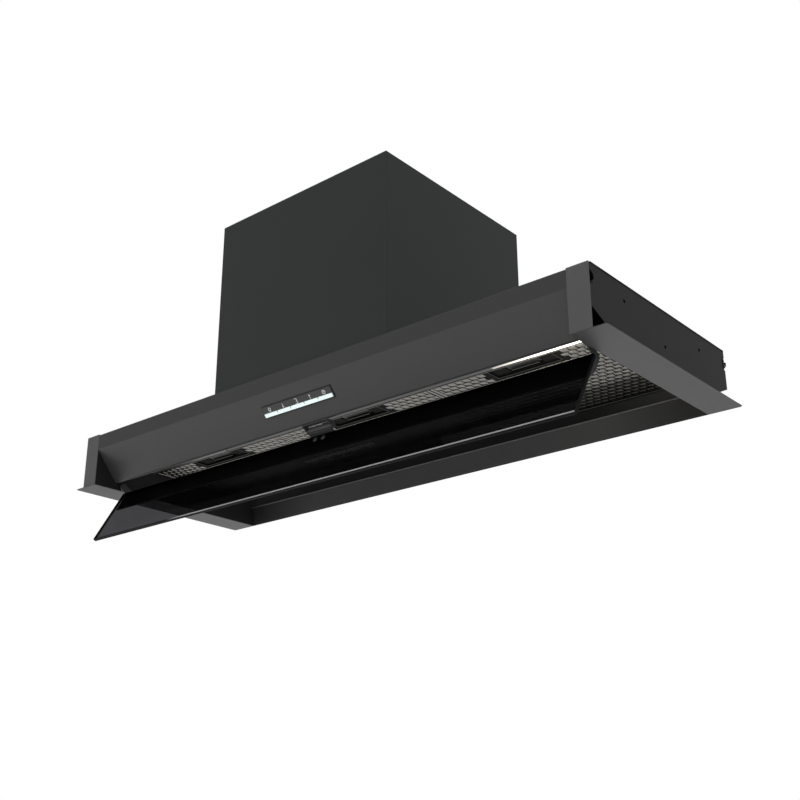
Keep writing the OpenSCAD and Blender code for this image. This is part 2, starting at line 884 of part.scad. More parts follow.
// Latch i: a slider with a finger lip and a nose that reaches the catch lip
module latch(i) {
    y0 = guide_y0 + slide_gap;
    y1 = guide_y1 - slide_gap - latch_travel;
    top = slider_z + slider_t;
    color("#202020")
    translate([filter_x(i), 0, 0]) {
        block([-slider_half, y0, slider_z], [slider_half, y1, top]);
        block([-nose_half, filter_y0 + nose_back, slider_z], [nose_half, y0 + 1, top]);
        block([-finger_half, y1 - finger_t, filter_z + 0.6], [finger_half, y1, slider_z + 1]);
    }
}

module latch_left() { latch(-1); }
module latch_middle() { latch(0); }
module latch_right() { latch(1); }

// ---- Visor ----

module visor_glass() {
    color("#4a484d", 0.5)
    on_visor()
        block([-visor_half, glass_y, glass_z - visor_h], [visor_half, rail_y, glass_z]);
}

// Rail bonded to the back of the glass along its top edge
module visor_rail() {
    color("#151516")
    on_visor()
        block([-visor_half + 2, rail_y, glass_z - rail_h], [visor_half - 2, rail_y + rail_t, glass_z]);
}

// Hooked arms at both ends: each reaches over the glass's top edge from its pin
module hinge_arms() {
    eye_r = 5.6;
    back_y = rail_back + arm_reach;
    low_z = glass_z - rail_h + 2;
    foot_l = 24;
    color("#3c3d3e")
    on_visor()
        mirror_pair() {
            difference() {
                along_x(arm_x - arm_t, arm_x)
                    union() {
                        circle(r = eye_r);
                        polygon([
                            [-1, arm_top], [17, arm_top], [back_y, 0.5], [back_y, glass_z - 14],
                            [rail_back + foot_t, low_z], [rail_back, low_z],
                            [rail_back, glass_z + 0.4], [3, glass_z + 0.8]
                        ]);
                    }
                rod_x(arm_x - arm_t - 1, arm_x + 1, pin_end_r + pin_gap);
            }
            block([arm_x - foot_l, rail_back, low_z + 2], [arm_x - arm_t, rail_back + foot_t, glass_z - 6]);
        }
}

// Middle leaf: a barrel on the pin, a plate over the glass's top edge and a foot behind the rail
module middle_hinge_leaf() {
    over_z = glass_z + 0.2;
    foot_half = 14;
    foot_h = 14;
    color("#3c3d3e")
    on_visor()
        difference() {
            union() {
                rod_x(mid_hinge_x - leaf_half, mid_hinge_x + leaf_half, barrel_r);
                block([mid_hinge_x - leaf_half, 1, over_z],
                      [mid_hinge_x + leaf_half, rail_back + foot_t, leaf_top]);
                block([mid_hinge_x - foot_half, rail_back, glass_z - foot_h],
                      [mid_hinge_x + foot_half, rail_back + foot_t, leaf_top]);
            }
            rod_x(mid_x0 - 1, mid_x1 + 1, pin_r + pin_gap);
        }
}

// Round-headed fasteners: two on the glass in front of the middle leaf's foot and two in each arm's foot
module glass_fasteners() {
    color("#8f9193")
    on_visor() {
        for (s = [-1, 1])
            translate([mid_hinge_x + s * 7, glass_y, glass_z - 8])
                rotate([90, 0, 0]) cylinder(h = head_h, r = 3.6);
        for (s = [-1, 1])
            for (x = [8, 17])
                translate([s * (arm_x - x), rail_back + foot_t, glass_z - 15])
                    rotate([-90, 0, 0]) cylinder(h = head_h, r = 2.6);
    }
}

// Pins fixed to the canopy: a stub in each inner side and a rod in the middle bracket
module hinge_pins() {
    color("#b4b6b8")
    translate([0, hinge_y, hinge_z]) {
        rod_x(mid_x0, mid_x1, pin_r);
        mirror_pair() rod_x(arm_x - arm_t - 1.5, bay_x, pin_end_r);
    }
}

// Bracket under the hem with two ears round the middle pin
module middle_hinge_bracket() {
    low_z = hem_z - bracket_t;
    plate_y0 = hem.x - bracket_back;
    plate_y1 = hinge_y - barrel_r - 1;
    color("#3c3d3e")
    difference() {
        union() {
            block([mid_x0, plate_y0, low_z], [mid_x1, plate_y1, hem_z]);
            for (x = [mid_x0, mid_x1 - ear_t])
                along_x(x, x + ear_t)
                    union() {
                        translate([hinge_y, hinge_z]) circle(r = ear_r);
                        polygon([[plate_y0, hem_z], [plate_y0, low_z], [hinge_y - 1, hinge_z - 4.4],
                                 [hinge_y + 1, hinge_z + 4.4], [plate_y1, hem_z]]);
                    }
        }
        translate([0, hinge_y, hinge_z]) rod_x(mid_x0 - 1, mid_x1 + 1, pin_r);
    }
}

roof_plate();
side_wall_left();
side_wall_right();
back_wall();
front_panel();
corner_post_left();
corner_post_right();
flange_left();
flange_right();
rear_panel();
inner_side_left();
inner_side_right();
inner_front_panel();
mounting_clips();
lamp_housings();
lamp_lens_left();
lamp_lens_right();
lamp_driver();
control_plate();
switch_board();
key_1();
key_2();
key_3();
key_4();
key_5();
electronics_box();
control_board();
cable_gland();
box_front();
box_back_panel();
box_left();
box_right();
box_lid();
lid_screws();
outlet_spigot();
damper_pin();
damper_flap_front();
damper_flap_back();
scroll_left();
scroll_right();
impeller();
motor_shaft();
motor();
motor_bracket();
rubber_mounts();
capacitor();
filter_left();
filter_middle();
filter_right();
latch_left();
latch_middle();
latch_right();
visor_glass();
visor_rail();
hinge_arms();
middle_hinge_leaf();
glass_fasteners();
hinge_pins();
middle_hinge_bracket();
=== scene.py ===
"""Slim built-in range hood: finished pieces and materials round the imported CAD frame.

Metres, X to the right, Y to the back, Z up, origin in the middle of the cabinet cut-out.
Each operator makes one piece or one group of like pieces; main() calls them in order.
"""

import json
import math

import bmesh
import bpy
import numpy as np
from bpy.props import FloatProperty, FloatVectorProperty, IntProperty, PointerProperty
from mathutils import Matrix, Vector

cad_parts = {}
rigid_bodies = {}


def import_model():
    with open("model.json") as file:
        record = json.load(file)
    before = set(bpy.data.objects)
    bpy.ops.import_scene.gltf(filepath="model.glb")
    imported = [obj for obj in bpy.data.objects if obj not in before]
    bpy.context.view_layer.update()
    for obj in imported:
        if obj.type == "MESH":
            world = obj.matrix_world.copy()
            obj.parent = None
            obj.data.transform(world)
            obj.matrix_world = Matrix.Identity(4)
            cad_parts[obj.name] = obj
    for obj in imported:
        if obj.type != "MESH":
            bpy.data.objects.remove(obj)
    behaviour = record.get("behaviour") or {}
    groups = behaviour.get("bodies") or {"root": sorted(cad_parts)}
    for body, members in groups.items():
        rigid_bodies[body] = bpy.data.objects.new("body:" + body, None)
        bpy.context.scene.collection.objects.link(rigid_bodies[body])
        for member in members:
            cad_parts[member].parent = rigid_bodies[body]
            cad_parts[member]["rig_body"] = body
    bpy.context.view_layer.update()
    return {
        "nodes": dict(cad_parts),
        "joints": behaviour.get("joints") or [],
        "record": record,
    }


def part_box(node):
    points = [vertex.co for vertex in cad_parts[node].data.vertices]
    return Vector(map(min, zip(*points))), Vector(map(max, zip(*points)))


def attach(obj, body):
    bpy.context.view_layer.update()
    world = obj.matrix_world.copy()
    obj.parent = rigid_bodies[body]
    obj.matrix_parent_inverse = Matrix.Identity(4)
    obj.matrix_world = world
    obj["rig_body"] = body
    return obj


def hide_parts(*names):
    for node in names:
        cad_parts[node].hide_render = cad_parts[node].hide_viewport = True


bl_info = {
    "name": "Range Hood Finisher",
    "version": (1, 0, 0),
    "blender": (4, 5, 0),
    "location": "View3D > Sidebar > Hood",
    "description": "Builds the finished pieces of a slim built-in range hood round its CAD frame",
    "category": "Object",
}

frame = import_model()
JOINTS = {joint["name"]: joint for joint in frame["joints"]}
SLOT_OF = {row["node"]: row["material_slot"] for row in frame["record"]["subparts"]}
KEYS = ["key_1", "key_2", "key_3", "key_4", "key_5"]
SIDES = ["left", "middle", "right"]
MM = 0.001
REAR_FOLD_Z = 28 * MM
NEAR = 1e-5  # corners closer than this along an axis lie on one face
SQUARE = np.array([(0, 0), (1, 0), (1, 1), (0, 1)], float)
ROUND_ANGLE = 25.0  # edges sharper than this are eased on pieces with round faces


# ---- Settings ----


def metres(name, description, default):
    """A length property in metres."""
    return FloatProperty(name=name, description=description, default=default, unit="LENGTH")


def watts(name, description, default):
    """A light's power property in watts."""
    return FloatProperty(name=name, description=description, default=default, unit="POWER")


def degrees(name, description, value):
    """An angle property, its default given in degrees."""
    return FloatProperty(
        name=name, description=description, default=math.radians(value), subtype="ANGLE"
    )


def plain(name, description, default):
    """A number without a unit."""
    return FloatProperty(name=name, description=description, default=default)


def paint_colour(name, default):
    """A colour property in linear light."""
    return FloatVectorProperty(
        name=name, description=name, subtype="COLOR", size=3, default=default, min=0, max=1
    )


class HoodSizes(bpy.types.PropertyGroup):
    """Sizes of the detail that the CAD solids leave out."""

    sheet_edge: metres("Sheet edge", "Rounding of cut sheet edges", 0.00022)
    small_edge: metres("Small edge", "Rounding of small pressed pieces", 0.00025)
    key_edge: metres("Key edge", "Rounding of keys and latches", 0.00035)
    glass_edge: metres("Glass edge", "Polished bevel round the glass", 0.0008)
    pad_pitch_x: metres("Pad pitch across", "Distance between filter pads along X", 0.0109)
    pad_pitch_y: metres("Pad pitch back", "Distance between rows of filter pads", 0.0102)
    # The slits look dark because the tray under the pads is near black: painted shade.
    slit: metres("Slit", "Dark slit between filter pads", 0.0009)
    pad_depth: metres("Pad depth", "How far a filter pad bulges down", 0.0011)
    filter_rim: metres("Filter rim", "Plain rim round a filter's pads", 0.0045)
    icon_size: metres("Icon size", "Height of a key's symbol", 0.0056)
    icon_line: metres("Icon line", "Width of a symbol's line", 0.0008)
    round_steps: IntProperty(
        name="Round steps", description="Facets of turned pieces", default=96, min=24, max=256
    )


class HoodColours(bpy.types.PropertyGroup):
    """Colours of the finishes, in linear light."""

    canopy: paint_colour("Canopy paint", (0.037, 0.0377, 0.037))
    post: paint_colour("Post paint", (0.089, 0.089, 0.090))
    flange: paint_colour("Flange paint", (0.051, 0.051, 0.052))
    box: paint_colour("Motor box paint", (0.0165, 0.0190, 0.0182))
    wall: paint_colour("Side wall paint", (0.0085, 0.0085, 0.009))
    inner: paint_colour("Inner paint", (0.065, 0.065, 0.066))
    rear: paint_colour("Rear panel paint", (0.060, 0.060, 0.061))
    # Painted shade: a darker copy of the inner paint, for the inner sides.
    cheek: paint_colour("Inner side paint", (0.018, 0.018, 0.019))
    key: paint_colour("Key plastic", (0.76, 0.86, 0.86))
    glass: paint_colour("Glass tint", (0.053, 0.052, 0.056))
    filter: paint_colour("Filter mesh", (0.195, 0.188, 0.172))
    lamp: paint_colour("Lamp light", (1.0, 0.93, 0.82))


class HoodStage(bpy.types.PropertyGroup):
    """Camera, floor and lights."""

    azimuth: degrees("Azimuth", "Camera's turn round the hood", 40.29)
    tilt: degrees("Tilt", "How steeply the camera looks up", 20.98)
    roll: degrees("Roll", "Camera roll", -0.16)
    distance: metres("Distance", "Camera to its aim", 1.5)
    aim: FloatVectorProperty(
        name="Aim", description="Point in the middle of the view", size=3, default=(0.065, -0.0245, 0.051)
    )
    lens: plain("Lens", "Focal length in millimetres on 36 mm", 51.76)
    floor_z: metres("Floor", "Height of the floor", -1.15)
    sky_low: plain("Light from below", "Sky strength under the horizon", 0.7)
    sky_high: plain("Light from above", "Sky strength overhead", 0.22)
    key_power: watts("Key light", "Power of the front light", 8.0)
    low_power: watts("Low light", "Power of the light by the floor", 11.0)
    top_power: watts("Top light", "Power of the light overhead", 45.0)
    lamp_power: plain("Hood lamp", "Emission of the lit lens", 3.5)
    spill_power: watts("Lamp spill", "Power that the lamp sheds on the filters", 0.07)


class HoodSettings(bpy.types.PropertyGroup):
    """All settings of the hood."""

    sizes: PointerProperty(type=HoodSizes)
    colours: PointerProperty(type=HoodColours)
    stage: PointerProperty(type=HoodStage)


def settings():
    """The settings held by the scene."""
    return bpy.context.scene.hood_settings


# ---- Shader maths ----


def operator(operation, reflected=False):
    """A method that adds a Math node on a wire and another value, in either order."""
    if reflected:
        return lambda wire, other: wire.maths(operation, other, wire)
    return lambda wire, other: wire.maths(operation, wire, other)


class Wire:
    """A shader socket that adds Math nodes when it is used in a Python expression."""

    def __init__(self, finish, socket):
        self.finish = finish
        self.socket = socket

    def maths(self, operation, first, second):
        """Adds one Math node on two numbers or wires."""
        return self.finish.make("ShaderNodeMath", {"operation": operation}, {0: first, 1: second})

    __add__ = operator("ADD")
    __radd__ = operator("ADD", True)
    __sub__ = operator("SUBTRACT")
    __rsub__ = operator("SUBTRACT", True)
    __mul__ = operator("MULTIPLY")
    __rmul__ = operator("MULTIPLY", True)
    __truediv__ = operator("DIVIDE")
    __rtruediv__ = operator("DIVIDE", True)
    __pow__ = operator("POWER")
    __gt__ = operator("GREATER_THAN")
    __lt__ = operator("LESS_THAN")

    def sine(self):
        """Its sine, as an angle in radians."""
        return self.maths("SINE", self, 0.0)

    def clip(self):
        """Held between 0 and 1."""
        return self.maths("MINIMUM", self.maths("MAXIMUM", self, 0.0), 1.0)


class Finish:
    """One procedural material, or the world, as a node tree."""

    def __init__(self, owner, output="ShaderNodeOutputMaterial"):
        owner.use_nodes = True
        self.owner = owner
        self.tree = owner.node_tree
        self.tree.nodes.clear()
        self.output = self.tree.nodes.new(output)

    def make(self, kind, fixed=None, sockets=None, out=0):
        """Adds a node: its fixed settings first, then values or links for its sockets."""
        node = self.tree.nodes.new(kind)
        for key, value in (fixed or {}).items():
            setattr(node, key, value)
        for key, value in (sockets or {}).items():
            self.feed(node.inputs[key], value)
        return Wire(self, node.outputs[out])

    def feed(self, target, value):
        """Links a wire to a socket, or sets the socket's own value."""
        if isinstance(value, Wire):
            self.tree.links.new(value.socket, target)
        elif isinstance(value, (tuple, list)) and target.type == "RGBA" and len(value) == 3:
            target.default_value = (*value, 1.0)
        else:
            target.default_value = value

    def place(self):
        """Object coordinates, in metres."""
        return self.make("ShaderNodeTexCoord", out=3)

    def axis(self, number):
        """One of the three object coordinates."""
        return self.make("ShaderNodeSeparateXYZ", {}, {0: self.place()}, out=number)

    def noise(self, size, detail=2.0, stretch=(1, 1, 1)):
        """Noise whose lumps are about size across."""
        spot = self.make(
            "ShaderNodeMapping", {"vector_type": "POINT"}, {"Vector": self.place(), "Scale": tuple(stretch)}
        )
        return self.make(
            "ShaderNodeTexNoise", {}, {"Vector": spot, "Scale": 1.0 / size, "Detail": detail}
        )

    def blend(self, first, second, factor):
        """Colour between two colours."""
        return self.make("ShaderNodeMix", {"data_type": "RGBA"}, {0: factor, 6: first, 7: second}, out=2)

    def bump(self, height, distance, strength):
        """Normal bent by a height; distance is the depth in metres of a height of 1."""
        return self.make(
            "ShaderNodeBump", {}, {"Height": height, "Distance": distance, "Strength": strength}
        )

    def close(self, **sockets):
        """Adds the Principled shader and joins it to the output."""
        named = {key.replace("_", " "): value for key, value in sockets.items()}
        shader = self.make("ShaderNodeBsdfPrincipled", {}, named)
        self.tree.links.new(shader.socket, self.output.inputs["Surface"])
        return self.owner


def new_finish(name):
    """An empty finish on a new material."""
    return Finish(bpy.data.materials.new(name))


def shade(colour, factor):
    """A colour made lighter or darker by a factor, as a tuple."""
    return tuple(min(1.0, float(part) * factor) for part in colour)


def powder_coat(
    name, colour, roughness, dark_over=None, dark_beyond=None, soot_from=None, shine=0.45
):
    """Powder coat: a fine orange-peel grain and a slow drift in tone and gloss.

    Above the height dark_over, and further than dark_beyond from the middle plane, the colour
    turns black as painted shade; further out along X than soot_from it darkens as painted shade. All in
    metres.
    """
    peel_size = 0.0006
    peel_depth = 0.00002
    shade_run = 0.12
    black = shade(colour, 0.05)
    f = new_finish(name)
    peel = f.noise(peel_size, 3.0)
    drift = f.noise(0.12, 2.0)
    fleck = f.noise(0.004, 2.0)
    tone = f.blend(shade(colour, 0.93), shade(colour, 1.07), (drift * 0.7 + fleck * 0.3).clip())
    # Painted shade: black above the height dark_over.
    if dark_over is not None:
        tone = f.blend(tone, black, f.axis(2) > dark_over)
    # Painted shade: darker further out along X than soot_from, towards the ends.
    if soot_from is not None:
        reach = ((f.axis(0) ** 2.0) ** 0.5 - soot_from) / shade_run
        tone = f.blend(tone, shade(colour, 0.3), reach.clip())
    # Painted shade: black further than dark_beyond from the middle plane.
    if dark_beyond is not None:
        side = f.axis(0)
        tone = f.blend(tone, black, side * side > dark_beyond * dark_beyond)
    return f.close(
        Base_Color=tone,
        Roughness=roughness + 0.10 * (peel - 0.5) + 0.08 * (drift - 0.5),
        Normal=f.bump(peel, peel_depth, 0.6),
        Specular_IOR_Level=shine,
    )


def moulded(name, colour, roughness, glow=0.0, shine=0.5):
    """Moulded plastic: a faint spark-eroded texture and small changes of gloss; glow is painted light,
    which makes the plastic give off light though it is no lamp.
    """
    texture_size = 0.0009
    texture_depth = 0.00001
    f = new_finish(name)
    texture = f.noise(texture_size, 4.0)
    flow = f.noise(0.03, 2.0)
    return f.close(
        Base_Color=f.blend(shade(colour, 0.94), shade(colour, 1.06), flow),
        Roughness=roughness + 0.12 * (texture - 0.5),
        Normal=f.bump(texture, texture_depth, 0.5),
        Specular_IOR_Level=shine,
        Emission_Color=tuple(colour),
        Emission_Strength=glow,
    )


def bare_metal(name, colour, roughness, stretch=(1, 1, 1)):
    """Bare metal: fine lines along one axis, slight stains and dulled patches."""
    line_size = 0.0012
    line_depth = 0.000008
    f = new_finish(name)
    line = f.noise(line_size, 3.0, stretch)
    stain = f.noise(0.02, 3.0)
    return f.close(
        Base_Color=f.blend(shade(colour, 0.85), shade(colour, 1.1), (line * 0.5 + stain * 0.5).clip()),
        Metallic=1.0,
        Roughness=roughness + 0.15 * (line - 0.5) + 0.12 * (stain - 0.5),
        Normal=f.bump(line, line_depth, 0.6),
    )


def filter_alloy(name, colour, metallic=1.0, roughness=0.24, shine=0.5):
    """Pressed aluminium mesh under a thin dark coat, painted darker towards the back as painted shade."""
    shade_start = 62 * MM
    shade_run = 22 * MM
    weave_size = 0.0009
    weave_depth = 0.00002
    f = new_finish(name)
    weave = f.noise(weave_size, 2.0)
    grime = f.noise(0.035, 3.0)
    tone = f.blend(shade(colour, 0.7), shade(colour, 1.15), (0.35 * weave + 0.65 * grime).clip())
    # Painted shade: darker towards the back from shade_start on.
    soot = ((f.axis(1) - shade_start) / shade_run + 0.3 * (grime - 0.5)).clip()
    return f.close(
        Base_Color=f.blend(tone, shade(colour, 0.2), soot),
        Metallic=metallic,
        Roughness=roughness + 0.12 * (grime - 0.5),
        Specular_IOR_Level=shine,
        Normal=f.bump(weave, weave_depth, 0.6),
    )


def smoked_glass(name, tint, ior):
    """Smoked safety glass with a trace of wiping marks in its gloss."""
    f = new_finish(name)
    wipe = f.noise(0.05, 3.0, (0.3, 1, 1))
    return f.close(
        Base_Color=tuple(tint),
        Roughness=(0.03 * (wipe - 0.45)).clip(),
        Transmission_Weight=1.0,
        IOR=ior,
    )


def corners_of(node):
    """Corner points of a CAD node, as an array."""
    return np.array([v.co[:] for v in frame["nodes"][node].data.vertices])


def glass_plane():
    """Direction from the front of the glass to its back, and the front face's distance along it."""
    points = corners_of("visor_glass")
    side = points[points[:, 0] > points[:, 0].max() - NEAR]
    corners = np.unique(np.round(side, 7), axis=0)
    spread = corners - corners[0]
    short = spread[np.argsort(np.linalg.norm(spread, axis=1))[1]]
    short = short / np.linalg.norm(short) * (1 if short[1] > 0 else -1)
    return short, (points @ short).min()


def highlighted_rim(name, bright, dark):
    """Ground and polished border of the glass; its colour is a painted highlight along the lower front edge
    and painted shade towards the left.
    """
    edge_height = 4 * MM
    end_margin = 1.5 * MM
    bevel_reach = 1.1 * MM
    dark_share = 0.20
    fade_run = 0.03
    f = new_finish(name)
    scratch = f.noise(0.002, 2.0, (0.1, 1, 1))
    lo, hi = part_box("visor_glass")
    way, front = glass_plane()
    low = (f.axis(2) < lo.z + edge_height) * (f.axis(0) < hi.x - end_margin)
    depth = f.axis(1) * float(way[1]) + f.axis(2) * float(way[2]) - float(front)
    run = ((f.axis(0) - lo.x - dark_share * (hi.x - lo.x)) / fade_run).clip()
    # Painted highlight on the lower front bevel, fading to painted shade over the left part.
    return f.close(
        Base_Color=f.blend(dark, bright, low * run * (depth < bevel_reach)),
        Roughness=0.30 + 0.1 * scratch,
        Specular_IOR_Level=0.05,
    )


def lamp_glow(name, colour, power):
    """Lit diffuser: light from a row of chips behind an opal sheet, weaker at its two ends."""
    rise_share = 0.45
    fall_share = 0.12
    end_share = 1.02
    f = new_finish(name)
    lo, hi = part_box("lamp_lens_right")
    along = (f.axis(0) - lo.x) / (hi.x - lo.x)
    hump = ((along / rise_share).clip() ** 2.0) * ((end_share - along) / fall_share).clip()
    chips = f.noise(0.012, 1.0, (1, 0.2, 0.2))
    glow = f.blend(shade(colour, 0.02), tuple(colour), (hump * (0.9 + 0.1 * chips)).clip())
    return f.close(
        Base_Color=(0.28, 0.28, 0.27),
        Roughness=0.35,
        Emission_Color=glow,
        Emission_Strength=power,
    )


def opal_off(name):
    """Unlit diffuser: smoky opal sheet with faint ribs across it."""
    rib_pitch = 0.0025
    rib_depth = 0.00004
    f = new_finish(name)
    rib = (f.axis(0) * (2 * math.pi / rib_pitch)).sine()
    cloud = f.noise(0.03, 2.0)
    return f.close(
        Base_Color=f.blend((0.009, 0.009, 0.010), (0.014, 0.014, 0.015), cloud),
        Roughness=0.25 + 0.1 * cloud,
        Normal=f.bump(rib, rib_depth, 0.5),
        Coat_Weight=0.3,
    )


def circuit_board(name):
    """Green board with darker tracks."""
    f = new_finish(name)
    tracks = f.make(
        "ShaderNodeTexBrick",
        {"offset": 0.5},
        {
            "Vector": f.place(),
            "Scale": 90.0,
            "Color1": (0.02, 0.11, 0.05),
            "Color2": (0.025, 0.14, 0.06),
            "Mortar": (0.012, 0.06, 0.03),
        },
    )
    return f.close(Base_Color=tracks, Roughness=0.45)


MATERIALS = {}


def add(maker, name, *values, **options):
    """Makes one finish and keeps it under its name."""
    MATERIALS[name] = maker(name, *values, **options)


def make_materials():
    """Builds each finish once, by its slot or its own name."""
    c = settings().colours
    roof_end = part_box("roof_plate")[1].x
    fold_z = REAR_FOLD_Z + 0.5 * MM
    add(powder_coat, "canopy_paint", c.canopy, 0.42)
    add(powder_coat, "post_paint", c.post, 0.45)
    add(powder_coat, "flange_paint", c.flange, 0.50)
    add(powder_coat, "box_paint", c.box, 0.40)
    add(powder_coat, "wall_paint", c.wall, 0.48, shine=0.32)
    # Roof: painted shade, black at its side edges for the dark line along the tops of the side walls.
    add(powder_coat, "roof_paint", c.wall, 0.60, dark_beyond=roof_end - 0.5 * MM)
    # Inner sides: painted shade, a darker copy of the inner paint.
    add(powder_coat, "cheek_paint", c.cheek, 0.42, shine=0.15)
    add(powder_coat, "inner_paint", c.inner, 0.48)
    # Rear panel: painted shade, black above the fold and darker towards both ends.
    add(powder_coat, "rear_paint", c.rear, 0.48, dark_over=fold_z, soot_from=0.26, shine=0.2)
    add(moulded, "plate_black", (0.045, 0.046, 0.046), 0.30)
    add(moulded, "seal_black", (0.006, 0.006, 0.006), 0.6)
    # The keys glow with painted light to look brighter.
    add(moulded, "key_white", c.key, 0.35, glow=0.44)
    add(moulded, "icon_white", (0.75, 0.78, 0.78), 0.5)
    add(lamp_glow, "lens_on", c.lamp, settings().stage.lamp_power)
    add(opal_off, "lens_off")
    add(bare_metal, "lamp_alloy", (0.50, 0.50, 0.50), 0.35, (1, 20, 20))
    add(filter_alloy, "filter_mesh", c.filter)
    # Filter trays: near black, painted shade that shows in the slits and latch recesses.
    add(filter_alloy, "filter_dark", (0.004, 0.004, 0.0035), metallic=0.0, roughness=0.7, shine=0.05)
    add(smoked_glass, "smoked_glass", c.glass, 1.045)
    # Glass edges: painted highlight along the lower front edge, painted shade at the left.
    add(highlighted_rim, "glass_rim", (0.34, 0.34, 0.35), (0.006, 0.006, 0.007))
    add(powder_coat, "rail_black", (0.012, 0.012, 0.010), 0.45)
    add(powder_coat, "hinge_steel", (0.045, 0.046, 0.048), 0.35)
    add(bare_metal, "pin_steel", (0.55, 0.55, 0.56), 0.25)
    add(bare_metal, "bolt_steel", (0.14, 0.14, 0.145), 0.3)
    add(bare_metal, "clip_steel", (0.035, 0.035, 0.037), 0.38, (1, 1, 12))
    add(moulded, "black_plastic", (0.012, 0.012, 0.013), 0.42)
    add(moulded, "latch_black", (0.006, 0.006, 0.006), 0.5, shine=0.25)
    add(moulded, "grey_plastic", (0.45, 0.46, 0.45), 0.5)
    add(circuit_board, "board_green")
    add(bare_metal, "motor_alloy", (0.30, 0.31, 0.32), 0.4, (1, 12, 12))
    add(moulded, "rubber_black", (0.010, 0.010, 0.010), 0.75)


# ---- Mesh tools ----


def grid_faces(rows, columns, wrap=False):
    """Quads of a rows x columns grid; with wrap the last column joins the first."""
    last = columns if wrap else columns - 1
    i, j = np.meshgrid(np.arange(rows - 1), np.arange(last), indexing="ij")
    k = (j + 1) % columns
    quads = np.stack([i * columns + j, i * columns + k, (i + 1) * columns + k, (i + 1) * columns + j], -1)
    return quads.reshape(-1, 4)


def new_object(name, data):
    """A new object in the scene."""
    thing = bpy.data.objects.new(name, data)
    bpy.context.scene.collection.objects.link(thing)
    return thing


def build(name, points, faces, material, body, smooth=True, caps=()):
    """Makes a piece from points and faces, points it outwards and rides it on a body."""
    mesh = bpy.data.meshes.new(name)
    rings = [list(map(int, cap)) for cap in caps]
    mesh.from_pydata(np.asarray(points, float).reshape(-1, 3).tolist(), [], faces.tolist() + rings)
    tidy = bmesh.new()
    tidy.from_mesh(mesh)
    bmesh.ops.remove_doubles(tidy, verts=tidy.verts, dist=1e-7)
    bmesh.ops.recalc_face_normals(tidy, faces=tidy.faces)
    tidy.to_mesh(mesh)
    tidy.free()
    return finish_piece(new_object(name, mesh), material, body, smooth)


def finish_piece(piece, material, body, smooth=True):
    """Gives a piece its finish and rides it on its body."""
    piece.data.materials.clear()
    piece.data.materials.append(MATERIALS[material])
    piece.data.shade_smooth() if smooth else piece.data.shade_flat()
    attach(piece, body)
    return piece


def bevel(piece, width, segments=2, angle=35.0):
    """Rounds a piece's sharp edges and keeps its flat faces flat."""
    mod = piece.modifiers.new("edges", "BEVEL")
    mod.width = width
    mod.segments = segments
    mod.limit_method = "ANGLE"
    mod.angle_limit = math.radians(angle)
    mod.use_clamp_overlap = False
    level = piece.modifiers.new("flat_faces", "WEIGHTED_NORMAL")
    level.weight = 60
    return piece


def body_of_node(node):
    """Name of the body that holds a CAD node."""
    return frame["nodes"][node]["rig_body"]


def merged_copy(node):
    """A bmesh copy of a CAD node with its corners merged and flat faces joined."""
    copy = bmesh.new()
    copy.from_mesh(frame["nodes"][node].data)
    bmesh.ops.remove_doubles(copy, verts=copy.verts, dist=2e-6)
    bmesh.ops.dissolve_limit(copy, angle_limit=math.radians(0.4), verts=copy.verts, edges=copy.edges)
    return copy


def eased(node, width, material=None, segments=2, angle=35.0):
    """The CAD node's own shape with rounded edges, standing for that node."""
    copy = merged_copy(node)
    mesh = bpy.data.meshes.new(node + "_finished")
    copy.to_mesh(mesh)
    copy.free()
    slot = SLOT_OF[node]
    piece = new_object(node + "_finished", mesh)
    finish_piece(piece, material or slot, body_of_node(node))
    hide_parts(node)
    return bevel(piece, width, segments, angle)


def dress(node, material=None):
    """Gives a CAD node that stays its finish."""
    data = frame["nodes"][node].data
    data.materials.clear()
    data.materials.append(MATERIALS[material or SLOT_OF[node]])


def islands(node):
    """Points of each separate lump of a CAD node, as arrays, from left to right."""
    copy = merged_copy(node)
    copy.verts.index_update()
    left, lumps = set(copy.verts), []
    while left:
        reach, lump = [left.pop()], []
        while reach:
            vert = reach.pop()
            lump.append(vert.co[:])
            near = {edge.other_vert(vert) for edge in vert.link_edges} & left
            left -= near
            reach.extend(near)
        lumps.append(np.array(lump))
    copy.free()
    return sorted(lumps, key=lambda lump: tuple(lump.min(0)))


def middle_of(points):
    """Middle of the box round some points."""
    return (points.min(0) + points.max(0)) / 2


def square_ring(name, rows, material, body):
    """A closed profile carried round four mitred corners; each row holds one profile point's corners."""
    faces = grid_faces(len(rows), 4, True)
    return build(name, np.array(rows), faces, material, body, smooth=False)


def turned(name, profile, centre, material, body):
    """A closed profile of (radius, height) turned about an upright axis.

    Point (i, j) is centre + (r_i cos a_j, r_i sin a_j, h_i) with a_j = 2 pi j / steps.
    """
    steps = settings().sizes.round_steps
    ring = np.asarray(profile + profile[:1], float)
    a = (np.arange(steps) * 2 * np.pi / steps)[None, :]
    r = ring[:, 0, None]
    points = np.stack([r * np.cos(a), r * np.sin(a), ring[:, 1, None] + 0 * a], -1) + np.asarray(centre)
    return build(name, points, grid_faces(len(ring), steps, True), material, body)


